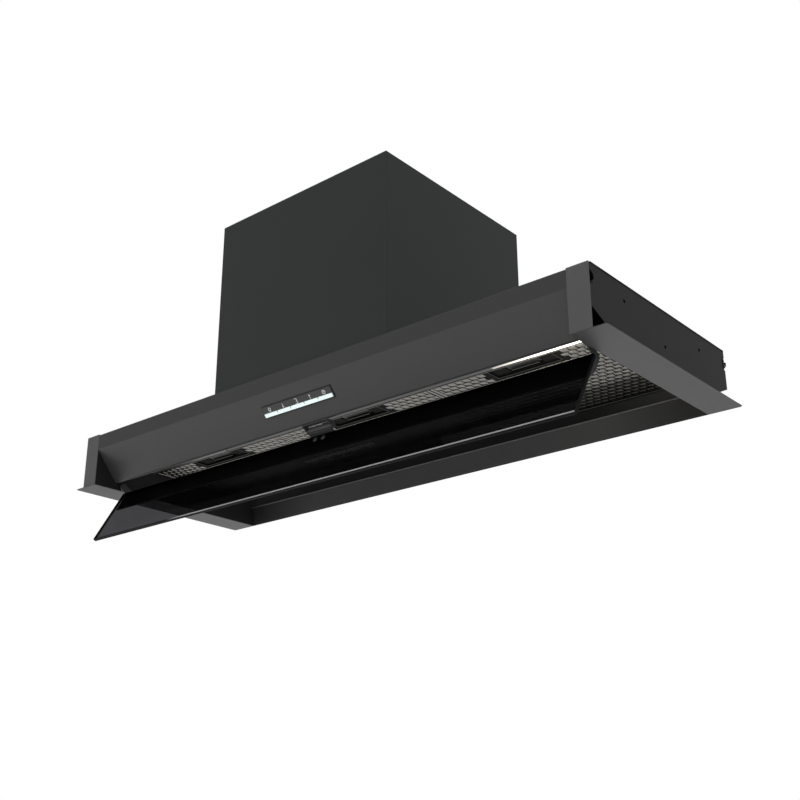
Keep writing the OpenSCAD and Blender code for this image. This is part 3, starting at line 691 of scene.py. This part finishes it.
def screw_heads(name, places, axes, radius, height, body, material="pin_steel"):
    """Domed heads with a cross recess.

    In polar coordinates (r, a) the height is h * sqrt(1 - 0.8 (r/R)^2), less the recess
    depth where the nearer of |x| and |y| is under the slot's half width; the rim drops to 0.
    """
    sides = 32
    r = np.array([0.0, 0.12, 0.3, 0.5, 0.62, 0.8, 0.93, 1.0, 1.0]) * radius
    a = np.arange(sides) * 2 * np.pi / sides
    x = r[:, None] * np.cos(a)
    y = r[:, None] * np.sin(a)
    dome = height * np.sqrt(1 - 0.8 * (r / radius) ** 2)[:, None] + 0 * x
    slot_half, slot_reach, slot_depth = 0.17 * radius, 0.6 * radius, 0.55 * height
    cross = (np.minimum(abs(x), abs(y)) < slot_half) & (np.hypot(x, y) < slot_reach)
    z = dome - slot_depth * cross
    z[-1] = 0.0
    local = np.stack([x, y, z], -1)
    askew = (0.31, 0.77, 0.55)  # along no head's axis
    faces, points, caps = [], [], []
    for number, (place, out) in enumerate(zip(places, axes)):
        w = np.asarray(out, float) / np.linalg.norm(out)
        u = np.cross(w, askew)
        u /= np.linalg.norm(u)
        points.append(np.asarray(place) + local @ np.array([u, np.cross(w, u), w]))
        start = number * len(r) * sides
        faces.append(grid_faces(len(r), sides, True) + start)
        caps.append(np.arange(start + (len(r) - 1) * sides, start + len(r) * sides))
    return build(
        name, np.concatenate(points), np.concatenate(faces), material, body, caps=caps
    )


def ribbon(points, width, closed):
    """Flat strip along a 2D path: point +- half the width times the path's left normal."""
    path = np.asarray(points, float)
    ahead = np.roll(path, -1, 0) - path
    behind = path - np.roll(path, 1, 0)
    if not closed:
        ahead[-1], behind[0] = behind[-1], ahead[0]
    ahead /= np.linalg.norm(ahead, axis=1)[:, None]
    behind /= np.linalg.norm(behind, axis=1)[:, None]
    normal = np.stack([-(ahead + behind)[:, 1], (ahead + behind)[:, 0]], -1)
    normal /= np.linalg.norm(normal, axis=1)[:, None] * np.sqrt((1 + (ahead * behind).sum(1)) / 2)[:, None]
    pair = np.stack([path - normal * width / 2, path + normal * width / 2], 1)
    if closed:
        pair = np.concatenate([pair, pair[:1]])
    return pair


def arc(cx, cy, r, start, end, steps):
    """Points of an arc, angles in degrees."""
    a = np.radians(np.linspace(start, end, steps))
    return np.stack([cx + r * np.cos(a), cy + r * np.sin(a)], -1)


# ---- Pieces ----


class HOOD_OT_canopy(bpy.types.Operator):
    """Folded sheets of the canopy: roof, walls, front panel, posts, flanges and inner sheets."""

    bl_idname = "hood.canopy"
    bl_label = "Canopy sheets"

    def execute(self, context):
        edge = settings().sizes.sheet_edge
        eased("roof_plate", edge, "roof_paint")
        for node in ("side_wall_left", "side_wall_right", "back_wall"):
            eased(node, edge, "wall_paint")
        eased("rear_panel", edge, "rear_paint")
        self.fold_highlight_bead()
        for node in ("flange_left", "flange_right"):
            eased(node, edge)
        for node in ("inner_side_left", "inner_side_right"):
            eased(node, edge, "cheek_paint")
        eased("inner_front_panel", edge, "canopy_paint")
        for node in ("corner_post_left", "corner_post_right"):
            eased(node, edge, "post_paint")
        eased("front_panel", edge, angle=ROUND_ANGLE)
        return {"FINISHED"}

    def fold_highlight_bead(self):
        """Raised bead along the fold of the rear panel; it catches light, and its lighter post paint adds a
        painted highlight along the fold: half a circle carried along X.
        """
        sink = 0.2 * MM
        radius = 0.9 * MM
        lo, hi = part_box("rear_panel")
        points = corners_of("rear_panel")
        heights = np.unique(np.round(points[:, 2], 5))
        fold_z = heights[np.argmin(abs(heights - REAR_FOLD_Z))]
        fold_y = points[abs(points[:, 2] - fold_z) < 2 * NEAR][:, 1].min()
        a = np.radians(np.linspace(80, 280, 9))
        y = fold_y + sink + radius * np.cos(a)
        z = fold_z - sink + radius * np.sin(a)
        x = np.linspace(lo.x + sink, hi.x - sink, 21)[:, None]
        rows = np.stack([x + 0 * y, y + 0 * x, z + 0 * x], -1)
        count = len(a)
        ends = [np.arange(count), np.arange(count) + (len(x) - 1) * count]
        faces = grid_faces(len(x), count, True)
        # The lighter post paint is a painted highlight along the fold.
        build("fold_highlight_bead", rows, faces, "post_paint", "hood", caps=ends)


class HOOD_OT_clips(bpy.types.Operator):
    """Spring clips in the side walls."""

    bl_idname = "hood.clips"
    bl_label = "Mounting clips"

    def execute(self, context):
        eased("mounting_clips", settings().sizes.small_edge, angle=ROUND_ANGLE)
        return {"FINISHED"}


class HOOD_OT_lamps(bpy.types.Operator):
    """Lamp housings, lenses and the supply of the lamps."""

    bl_idname = "hood.lamps"
    bl_label = "Lamps"

    def execute(self, context):
        eased("lamp_housings", width=0.4 * MM)
        eased("lamp_driver", width=0.8 * MM, material="grey_plastic")
        for node in ("lamp_lens_left", "lamp_lens_right"):
            eased(node, width=0.3 * MM)
        return {"FINISHED"}


def slope_frame():
    """The control plate's middle with its axes across, up and outwards, and its face's corners."""
    lo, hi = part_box("control_plate")
    out = -Vector(JOINTS["key_1_press"]["axis"]).normalized()
    across = Vector((1, 0, 0))
    up = out.cross(across).normalized()
    if up.z < 0:
        up = -up
    points = corners_of("control_plate")
    face = points[points @ np.array(out) > (points @ np.array(out)).max() - NEAR]
    middle = Vector((lo.x + hi.x, 0, 0)) / 2 + Vector((0, *middle_of(face)[1:]))
    return (middle, across, up, out), face


def on_face(flat, height, plane):
    """Lays (x, y) points on the control plate's face, height above it."""
    origin, across, up, out = (np.array(part) for part in plane)
    flat = np.asarray(flat, float)
    return origin + flat[..., 0:1] * across + flat[..., 1:2] * up + height * out


def raised_strip(flat, height, plane):
    """Closed cross sections of a flat strip that stands height above the control plate."""
    sink = 0.02 * MM
    top = on_face(flat, height, plane)
    low = on_face(flat, -sink, plane)
    return np.stack([low[:, 0], top[:, 0], top[:, 1], low[:, 1], low[:, 0]], 1)


def symbol_lines():
    """Strokes of the five symbols, about a height of 1: bulb, down, 3, up, timer."""
    bulb = [
        arc(0, 0.12, 0.34, -60, 240, 18),
        [(-0.14, -0.18), (-0.14, -0.42), (0.14, -0.42), (0.14, -0.18)],
    ]
    down = [[(0, 0.5), (0, -0.46)], [(-0.22, -0.22), (0, -0.48), (0.22, -0.22)]]
    bows = [arc(0, 0.25, 0.25, 150, -80, 12), arc(0, -0.25, 0.27, 80, -150, 12)]
    three = [1.25 * np.concatenate(bows)]
    up = [[(0, -0.5), (0, 0.46)], [(-0.22, 0.22), (0, 0.48), (0.22, 0.22)]]
    timer = [arc(0, 0, 0.42, 90, 450, 25)[:-1], [(0, 0.26), (0, 0), (0.18, -0.1)]]
    return [bulb, down, three, up, timer]


class HOOD_OT_controls(bpy.types.Operator):
    """Control plate with a dark ring of painted shade round it, five symbols and five bar keys."""

    bl_idname = "hood.controls"
    bl_label = "Controls"

    def execute(self, context):
        sizes = settings().sizes
        line_inset = 0.6 * MM
        eased("control_plate", sizes.small_edge, "canopy_paint")
        plane, face = slope_frame()
        origin, _, up, _ = plane
        half_x = (face[:, 0].max() - face[:, 0].min()) / 2
        half_y = ((face - np.array(origin)) @ np.array(up)).max()
        self.seal(plane, half_x, half_y)
        self.outline(plane, half_x - line_inset, half_y - line_inset)
        self.symbols(plane, sizes)
        self.dividers(plane)
        for key in KEYS:
            eased(key, sizes.key_edge, segments=3)
        dress("switch_board")
        return {"FINISHED"}

    def seal(self, plane, half_x, half_y):
        """Dark ring round the plate's sides, painted shade for the gap round the plate: a rectangle ring
        whose corners are mitred.
        """
        foot = -1.6 * MM
        profile = [
            (0.0, foot + 0.02 * MM), (0.7 * MM, foot + 0.02 * MM), (0.7 * MM, foot + 0.5 * MM),
            (0.5 * MM, foot + 0.7 * MM), (0.0, foot + 0.7 * MM),
        ]
        rows = []
        for grow, height in profile + profile[:1]:
            flat = (2 * SQUARE - 1) * np.array([half_x + grow, half_y + grow])
            rows.append(on_face(flat, height, plane))
        square_ring("control_shade_ring", rows, "seal_black", "hood")

    def outline(self, plane, half_x, half_y):
        """Dark line just inside the plate's border, a closed flat strip."""
        width = 0.55 * MM
        height = 0.05 * MM
        border = (2 * SQUARE - 1) * np.array([half_x, half_y])
        ring = raised_strip(ribbon(border, width, True), height, plane)
        faces = grid_faces(len(ring), 5)
        build("plate_outline", ring, faces, "seal_black", "hood", smooth=False)

    def symbols(self, plane, sizes):
        """Each symbol is a set of flat strips laid a hair above the plate."""
        height = 0.06 * MM
        over_key = 6.6 * MM
        loop_points = 20  # a stroke of more points whose ends are within loop_gap is a loop
        loop_gap = 0.12
        origin, _, up, _ = plane
        points, faces, count = [], [], 0
        for key, strokes in zip(KEYS, symbol_lines()):
            lo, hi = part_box(key)
            middle_x = (lo.x + hi.x) / 2 - origin[0]
            key_y = (np.array((lo + hi) / 2) - np.array(origin)) @ np.array(up)
            for stroke in strokes:
                path = np.asarray(stroke, float)
                closed = len(path) > loop_points and np.allclose(path[0], path[-1], atol=loop_gap)
                flat = ribbon(path * sizes.icon_size, sizes.icon_line, closed)
                flat = flat + np.array([middle_x, key_y + over_key])
                ring = raised_strip(flat, height, plane)
                points.append(ring.reshape(-1, 3))
                faces.append(grid_faces(len(ring), 5) + count)
                count += ring.shape[0] * 5
        points, faces = np.concatenate(points), np.concatenate(faces)
        build("key_symbols", points, faces, "icon_white", "hood", smooth=False)

    def dividers(self, plane):
        """Dark ribs in the upper half of the gaps between neighbouring keys, each a closed box."""
        side_gap = 0.03 * MM
        over_top = 0.2 * MM
        sink = 0.02 * MM
        rise = 0.12 * MM
        origin, _, up, out = (np.array(part) for part in plane)
        points, faces = [], []
        for number, (left, right) in enumerate(zip(KEYS, KEYS[1:])):
            x0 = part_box(left)[1].x - origin[0] + side_gap
            x1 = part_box(right)[0].x - origin[0] - side_gap
            local = corners_of(left) - origin
            along = local @ up
            proud = (local @ out).max()
            face = along[local @ out > proud - 2 * NEAR]
            low = (face.min() + face.max()) / 2
            top = face.max() + over_top
            flat = np.array([(x0, low), (x1, low), (x1, top), (x0, top)])
            rows = [on_face(flat, height, plane) for height in (-sink, proud + rise)]
            points.append(np.array(rows).reshape(-1, 3))
            faces.append(grid_faces(2, 4, True) + number * 8)
        ends = [np.arange(4) + 4 * k for k in range(2 * len(points))]
        points, faces = np.concatenate(points), np.concatenate(faces)
        build("key_dividers", points, faces, "seal_black", "hood", False, ends)


class HOOD_OT_motor_box(bpy.types.Operator):
    """Motor box: four walls, lid, lid screws and cable gland."""

    bl_idname = "hood.motor_box"
    bl_label = "Motor box"

    def execute(self, context):
        edge = settings().sizes.sheet_edge
        for node in ("box_front", "box_back_panel", "box_left", "box_right", "box_lid"):
            eased(node, edge)
        eased("cable_gland", width=0.6 * MM, angle=ROUND_ANGLE)
        head_r = 4 * MM
        head_h = 2 * MM
        places = [(*middle_of(lump)[:2], lump[:, 2].max() - head_h) for lump in islands("lid_screws")]
        upright = [(0, 0, 1)] * len(places)
        heads = screw_heads("lid_screw_heads", places, upright, head_r, head_h, "hood")
        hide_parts("lid_screws")
        return {"FINISHED"}


class HOOD_OT_outlet(bpy.types.Operator):
    """Outlet spigot with its bead and seat ring, and the two damper flaps on their pin."""

    bl_idname = "hood.outlet"
    bl_label = "Outlet"

    def execute(self, context):
        seat_w = 10 * MM
        seat_t = 2 * MM
        wall = 1.5 * MM
        head_r = 3 * MM
        head_h = 1.6 * MM
        lo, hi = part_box("outlet_spigot")
        middle = (lo + hi) / 2
        ring = (hi.x - lo.x) / 2
        tall = hi.z - lo.z
        r = ring - seat_w
        bore = r - wall
        rounded_top = [
            (bore, 0), (bore, tall - 0.6 * MM), (bore + 0.3 * MM, tall - 0.1 * MM), (r - 0.7 * MM, tall),
            (r - 0.2 * MM, tall - 0.3 * MM), (r, tall - 0.9 * MM),
        ]
        groove = [
            (r, tall - 9 * MM), (r - 0.5 * MM, tall - 10 * MM), (r - 0.7 * MM, tall - 11 * MM),
            (r - 0.5 * MM, tall - 12 * MM), (r, tall - 13 * MM),
        ]
        seat = [
            (r, 4 * MM), (r + 0.4 * MM, 2.8 * MM), (r + 1.4 * MM, 2.1 * MM), (r + 2.4 * MM, seat_t),
            (ring - 0.5 * MM, seat_t), (ring - 0.1 * MM, 1.7 * MM), (ring, 1.2 * MM), (ring, 0),
        ]
        spigot = turned(
            "outlet_collar", rounded_top + groove + seat, (middle.x, middle.y, lo.z), "black_plastic",
            "hood",
        )
        bevel(spigot, 0.2 * MM, angle=50.0)
        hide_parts("outlet_spigot")
        screw_ring = r + 5.5 * MM
        places = [
            (middle.x + screw_ring * math.cos(a), middle.y + screw_ring * math.sin(a), lo.z + seat_t)
            for a in np.radians([45, 135, 225, 315])
        ]
        upright = [(0, 0, 1)] * len(places)
        screw_heads("outlet_screws", places, upright, head_r, head_h, "hood")
        for node in ("damper_flap_front", "damper_flap_back", "damper_pin"):
            eased(node, width=0.2 * MM, angle=ROUND_ANGLE)
        return {"FINISHED"}


class HOOD_OT_blower(bpy.types.Operator):
    """Blower, motor and electronics inside the housing."""

    bl_idname = "hood.blower"
    bl_label = "Blower and electronics"

    def execute(self, context):
        nodes = (
            "scroll_left", "scroll_right", "impeller", "motor_shaft", "motor", "motor_bracket",
            "rubber_mounts", "capacitor", "electronics_box", "control_board",
        )
        for node in nodes:
            dress(node)
        return {"FINISHED"}


class HOOD_OT_filters(bpy.types.Operator):
    """Grease filters: pressed brick pads and a plain rim on each tray, and the latches."""

    bl_idname = "hood.filters"
    bl_label = "Grease filters"

    def execute(self, context):
        for side in SIDES:
            # The near black tray is painted shade in the slits and the latch recess.
            dress("filter_" + side, "filter_dark")
            self.pads(side)
            self.rim(side)
            self.latch_frame(side)
            eased("latch_" + side, settings().sizes.key_edge, "latch_black")
        return {"FINISHED"}

    def plan(self, side):
        """Low and high corner of a filter's underside, and of its latch recess."""
        recess_depth = 2 * MM
        points = corners_of("filter_" + side)
        under = points[points[:, 2] < points[:, 2].min() + NEAR]
        lo, hi = under.min(0), under.max(0)
        step = points[abs(points[:, 2] - lo[2] - recess_depth) < NEAR]
        return lo, hi, step.min(0), step.max(0)

    def pads(self, side):
        """Staggered rows of pads.

        A pad is a grid (u, v) in 0..1: x and y run over its footprint and the depth is
        d (1 - |2u - 1|^14)(1 - |2v - 1|^12)(0.8 + 0.2 u), closed at its back by one flat face.
        """
        sizes = settings().sizes
        front_margin = 1.2 * MM
        least_width = 3 * MM
        recess_gap = 2 * MM
        sink = 0.05 * MM
        lo, hi, recess_lo, recess_hi = self.plan(side)
        rim, px, py, gap = sizes.filter_rim, sizes.pad_pitch_x, sizes.pad_pitch_y, sizes.slit
        x0, x1 = lo[0] + rim, hi[0] - rim
        y0, y1 = lo[1] + front_margin, hi[1] - rim
        lefts, rights, fronts = [], [], []
        for row in range(int((y1 - y0) / py)):
            starts = np.arange(x0 - (px / 2 if row % 2 else 0), x1, px)
            left, right = np.maximum(starts, x0), np.minimum(starts + px, x1)
            front = np.full(len(left), y0 + row * py)
            behind = front > recess_hi[1] + recess_gap
            beside = (right < recess_lo[0] - recess_gap) | (left > recess_hi[0] + recess_gap)
            keep = (right - left > least_width) & (behind | beside)
            lefts.append(left[keep])
            rights.append(right[keep])
            fronts.append(front[keep])
        left, right = np.concatenate(lefts) + gap / 2, np.concatenate(rights) - gap / 2
        front = np.concatenate(fronts) + gap / 2
        back = np.concatenate(fronts) + py - gap / 2
        u = np.array([0.0, 0.03, 0.09, 0.5, 0.91, 0.97, 1.0])
        v = np.array([0.0, 0.04, 0.10, 0.90, 0.96, 1.0])
        cols, rows = len(u), len(v)
        across, deep = np.meshgrid(u, v, indexing="xy")
        x = left[:, None, None] + (right - left)[:, None, None] * across
        y = front[:, None, None] + (back - front)[:, None, None] * deep
        form = (1 - abs(2 * across - 1) ** 14) * (1 - abs(2 * deep - 1) ** 12) * (0.8 + 0.2 * across)
        z = lo[2] + sink - (sizes.pad_depth + sink) * form + 0 * x
        points = np.stack([x, y, z], -1)
        starts = np.arange(len(left)) * cols * rows
        faces = (starts[:, None, None] + grid_faces(rows, cols)).reshape(-1, 4)
        border = np.concatenate([
            np.arange(cols), np.arange(1, rows) * cols + cols - 1,
            np.arange(cols - 2, -1, -1) + (rows - 1) * cols, np.arange(rows - 2, 0, -1) * cols,
        ])
        build("filter_pads_" + side, points, faces, "filter_mesh", "filter_" + side,
              caps=starts[:, None] + border)

    def rim(self, side):
        """Rolled rim: a low crowned strip carried round the filter's underside, corners mitred."""
        front_share = 0.3  # of the rim's width that shows along the front
        lo, hi, _, _ = self.plan(side)
        w = settings().sizes.filter_rim - 0.8 * MM
        profile = [
            (0.1 * MM, 0.05 * MM), (0.1 * MM, -0.35 * MM), (0.5 * MM, -0.75 * MM), (w / 2, -0.9 * MM),
            (w - 0.6 * MM, -0.7 * MM), (w, -0.2 * MM), (w, 0.05 * MM),
        ]
        rows = []
        for inset, height in profile + profile[:1]:
            base = np.array([lo[0] + inset, lo[1] + inset * front_share])
            size = np.array([hi[0] - lo[0] - 2 * inset, hi[1] - lo[1] - inset * (1 + front_share)])
            rows.append(self.level_ring(base, size, lo[2] + height))
        rim = square_ring("filter_rim_" + side, rows, "filter_mesh", "filter_" + side)
        bevel(rim, 0.12 * MM, segments=1, angle=20.0)

    def level_ring(self, base, size, height):
        """The four corners of a level rectangle."""
        return np.concatenate([base + SQUARE * size, np.full((4, 1), height)], 1)

    def latch_frame(self, side):
        """Thin raised lip round the latch recess, a rectangle ring with mitred corners."""
        _, _, lo, hi = self.plan(side)
        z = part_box("filter_" + side)[0].z
        profile = [
            (0.0, 0.3 * MM), (0.0, -0.2 * MM), (0.3 * MM, -0.35 * MM), (1.0 * MM, -0.35 * MM),
            (1.3 * MM, -0.15 * MM), (1.3 * MM, 0.3 * MM),
        ]
        rows = []
        for grow, height in profile + profile[:1]:
            rows.append(self.level_ring(lo[:2] - grow, hi[:2] - lo[:2] + 2 * grow, z + height))
        square_ring("latch_lip_" + side, rows, "latch_black", "filter_" + side)


class HOOD_OT_visor(bpy.types.Operator):
    """Smoked glass visor with polished edges, its rail, and the hinges at both ends and in the middle."""

    bl_idname = "hood.visor"
    bl_label = "Visor and hinges"

    def execute(self, context):
        sizes = settings().sizes
        edge_cosine = 0.7
        glass = eased("visor_glass", sizes.glass_edge, segments=3)
        # The edge faces take the rim finish with its painted highlight.
        glass.data.materials.append(MATERIALS["glass_rim"])
        glass.modifiers["edges"].material = 1
        normal, _ = glass_plane()
        for face in glass.data.polygons:
            if abs(face.normal.dot(Vector(normal))) < edge_cosine:
                face.material_index = 1
        eased("visor_rail", width=0.3 * MM)
        for node in ("hinge_arms", "middle_hinge_leaf", "middle_hinge_bracket"):
            eased(node, sizes.small_edge, angle=ROUND_ANGLE)
        eased("hinge_pins", sizes.small_edge, "hinge_steel", angle=ROUND_ANGLE)
        self.fasteners(normal)
        return {"FINISHED"}

    def fasteners(self, normal):
        """Domed heads on the glass: large ones in front and small ones at the back."""
        front_r = 3.6 * MM
        back_r = 2.6 * MM
        head_h = 1.4 * MM
        front, back = [], []
        for lump in islands("glass_fasteners"):
            radius = (lump[:, 0].max() - lump[:, 0].min()) / 2
            large = radius > (front_r + back_r) / 2
            way = -1.0 if large else 1.0
            place = middle_of(lump) - way * normal * head_h / 2
            (front if large else back).append((place, way * normal))
        heads = screw_heads("glass_bolts_front", *zip(*front), front_r, head_h, "visor", "bolt_steel")
        screw_heads("glass_bolts_back", *zip(*back), back_r, head_h, "visor")
        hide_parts("glass_fasteners")


class HOOD_OT_stage(bpy.types.Operator):
    """Pale floor, soft studio light and the camera."""

    bl_idname = "hood.stage"
    bl_label = "Stage"

    def execute(self, context):
        scene = context.scene
        scene.view_settings.view_transform = "Standard"
        self.sky(scene)
        self.floor()
        self.camera(scene)
        self.lights(settings().stage)
        return {"FINISHED"}

    def lights(self, stage):
        """Soft lights in front, under and over the hood, and the light that its lamp scatters."""
        middle = (0.0, 0.0, 0.0)
        self.area("front_light", (0.9, -2.7, 0.2), (0.0, 0.0, 0.05), 2.4, stage.key_power)
        lo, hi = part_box("lamp_lens_right")
        under = ((lo.x + hi.x) / 2, lo.y + 8 * MM, lo.z - 34 * MM)
        inwards = (under[0], under[1] + 0.1, under[2] + 0.1)
        spill = self.area("lamp_spill", under, inwards, 0.15, stage.spill_power)
        spill.data.shape = "RECTANGLE"
        spill.data.size_y = 8 * MM
        spill.data.color = settings().colours.lamp
        self.area("low_light", (-0.8, 0.2, stage.floor_z + 0.05), middle, 3.5, stage.low_power)
        top = self.area("top_light", (0.0, 0.0, 3.0), middle, 4.0, stage.top_power)
        top.data.spread = math.radians(80)

    def sky(self, scene):
        """White to the eye; as a light it is stronger from below than from above."""
        stage = settings().stage
        world = bpy.data.worlds.new("studio")
        scene.world = world
        f = Finish(world, "ShaderNodeOutputWorld")
        height = f.make("ShaderNodeSeparateXYZ", {}, {0: f.make("ShaderNodeTexCoord", out=0)}, out=2)
        spread = {
            "Value": height, "From Min": -0.4, "From Max": 0.9,
            "To Min": stage.sky_low, "To Max": stage.sky_high,
        }
        level = f.make("ShaderNodeMapRange", {}, spread)
        white = (1.0, 1.0, 1.0)
        light = f.make("ShaderNodeBackground", {}, {"Color": white, "Strength": level})
        seen = f.make("ShaderNodeBackground", {}, {"Color": white, "Strength": 1.0})
        path = f.make("ShaderNodeLightPath", out=0)
        through = f.make("ShaderNodeLightPath", out=6)
        both = f.make("ShaderNodeMixShader", {}, {0: (path + through).clip(), 1: light, 2: seen})
        f.tree.links.new(both.socket, f.output.inputs["Surface"])

    def floor(self):
        """A wide plate with a slight wave, z = floor + 0.2 mm sin x sin y."""
        reach = 7
        lines = 29
        wave = 0.2 * MM
        line = np.linspace(-reach, reach, lines)
        x, y = np.meshgrid(line, line)
        points = np.stack([x, y, settings().stage.floor_z + wave * np.sin(x) * np.sin(y)], -1)
        mesh = bpy.data.meshes.new("floor")
        mesh.from_pydata(points.reshape(-1, 3).tolist(), [], grid_faces(lines, lines).tolist())
        floor = new_object("floor", mesh)
        f = new_finish("floor_paint")
        tone = f.noise(1.5, 2.0)
        paint = f.close(
            Base_Color=f.blend((0.80, 0.80, 0.79), (0.86, 0.86, 0.85), tone),
            Roughness=0.7 + 0.1 * tone,
            Emission_Color=(1.0, 1.0, 1.0),
            Emission_Strength=0.22,
        )
        mesh.materials.append(paint)

    def area(self, name, place, aim, size, power):
        """A soft square light that looks at a point."""
        data = bpy.data.lights.new(name, "AREA")
        data.shape = "SQUARE"
        data.size = size
        data.energy = power
        lamp = new_object(name, data)
        lamp.visible_camera = False
        way = Vector(aim) - Vector(place)
        lamp.matrix_world = Matrix.Translation(place) @ way.to_track_quat("-Z", "Y").to_matrix().to_4x4()
        return lamp

    def camera(self, scene):
        """Looks along (-sin a cos t, cos a cos t, sin t) from distance d before its aim."""
        stage = settings().stage
        a, t = stage.azimuth, stage.tilt
        look = Vector((-math.sin(a) * math.cos(t), math.cos(a) * math.cos(t), math.sin(t)))
        right = Vector((math.cos(a), math.sin(a), 0.0))
        up = right.cross(look)
        turn = Matrix((right, up, -look)).transposed() @ Matrix.Rotation(stage.roll, 3, "Z")
        data = bpy.data.cameras.new("camera")
        data.lens = stage.lens
        data.sensor_width = 36.0
        data.clip_start = 0.01
        data.clip_end = 50.0
        camera = new_object("camera", data)
        camera.matrix_world = Matrix.Translation(Vector(stage.aim) - look * stage.distance) @ turn.to_4x4()
        scene.camera = camera


class HOOD_PT_panel(bpy.types.Panel):
    """Lists the hood's operators and settings."""

    bl_label = "Range hood"
    bl_idname = "HOOD_PT_panel"
    bl_space_type = "VIEW_3D"
    bl_region_type = "UI"
    bl_category = "Hood"

    def draw(self, context):
        for step in STEPS:
            self.layout.operator(step.bl_idname)
        for group in (settings().sizes, settings().colours, settings().stage):
            box = self.layout.box()
            for name in group.__annotations__:
                box.prop(group, name)


GROUPS = [HoodSizes, HoodColours, HoodStage, HoodSettings]
STEPS = [
    HOOD_OT_canopy, HOOD_OT_clips, HOOD_OT_lamps, HOOD_OT_controls, HOOD_OT_motor_box, HOOD_OT_outlet,
    HOOD_OT_blower, HOOD_OT_filters, HOOD_OT_visor, HOOD_OT_stage,
]


def register():
    """Registers the settings, operators and panel."""
    for cls in GROUPS + STEPS + [HOOD_PT_panel]:
        bpy.utils.register_class(cls)
    bpy.types.Scene.hood_settings = PointerProperty(type=HoodSettings)


def unregister():
    """Takes them away again."""
    del bpy.types.Scene.hood_settings
    for cls in reversed(GROUPS + STEPS + [HOOD_PT_panel]):
        bpy.utils.unregister_class(cls)


def main():
    """Builds the whole hood."""
    register()
    make_materials()
    for step in STEPS:
        group, name = step.bl_idname.split(".")
        getattr(getattr(bpy.ops, group), name)()


if __name__ == "__main__":
    main()
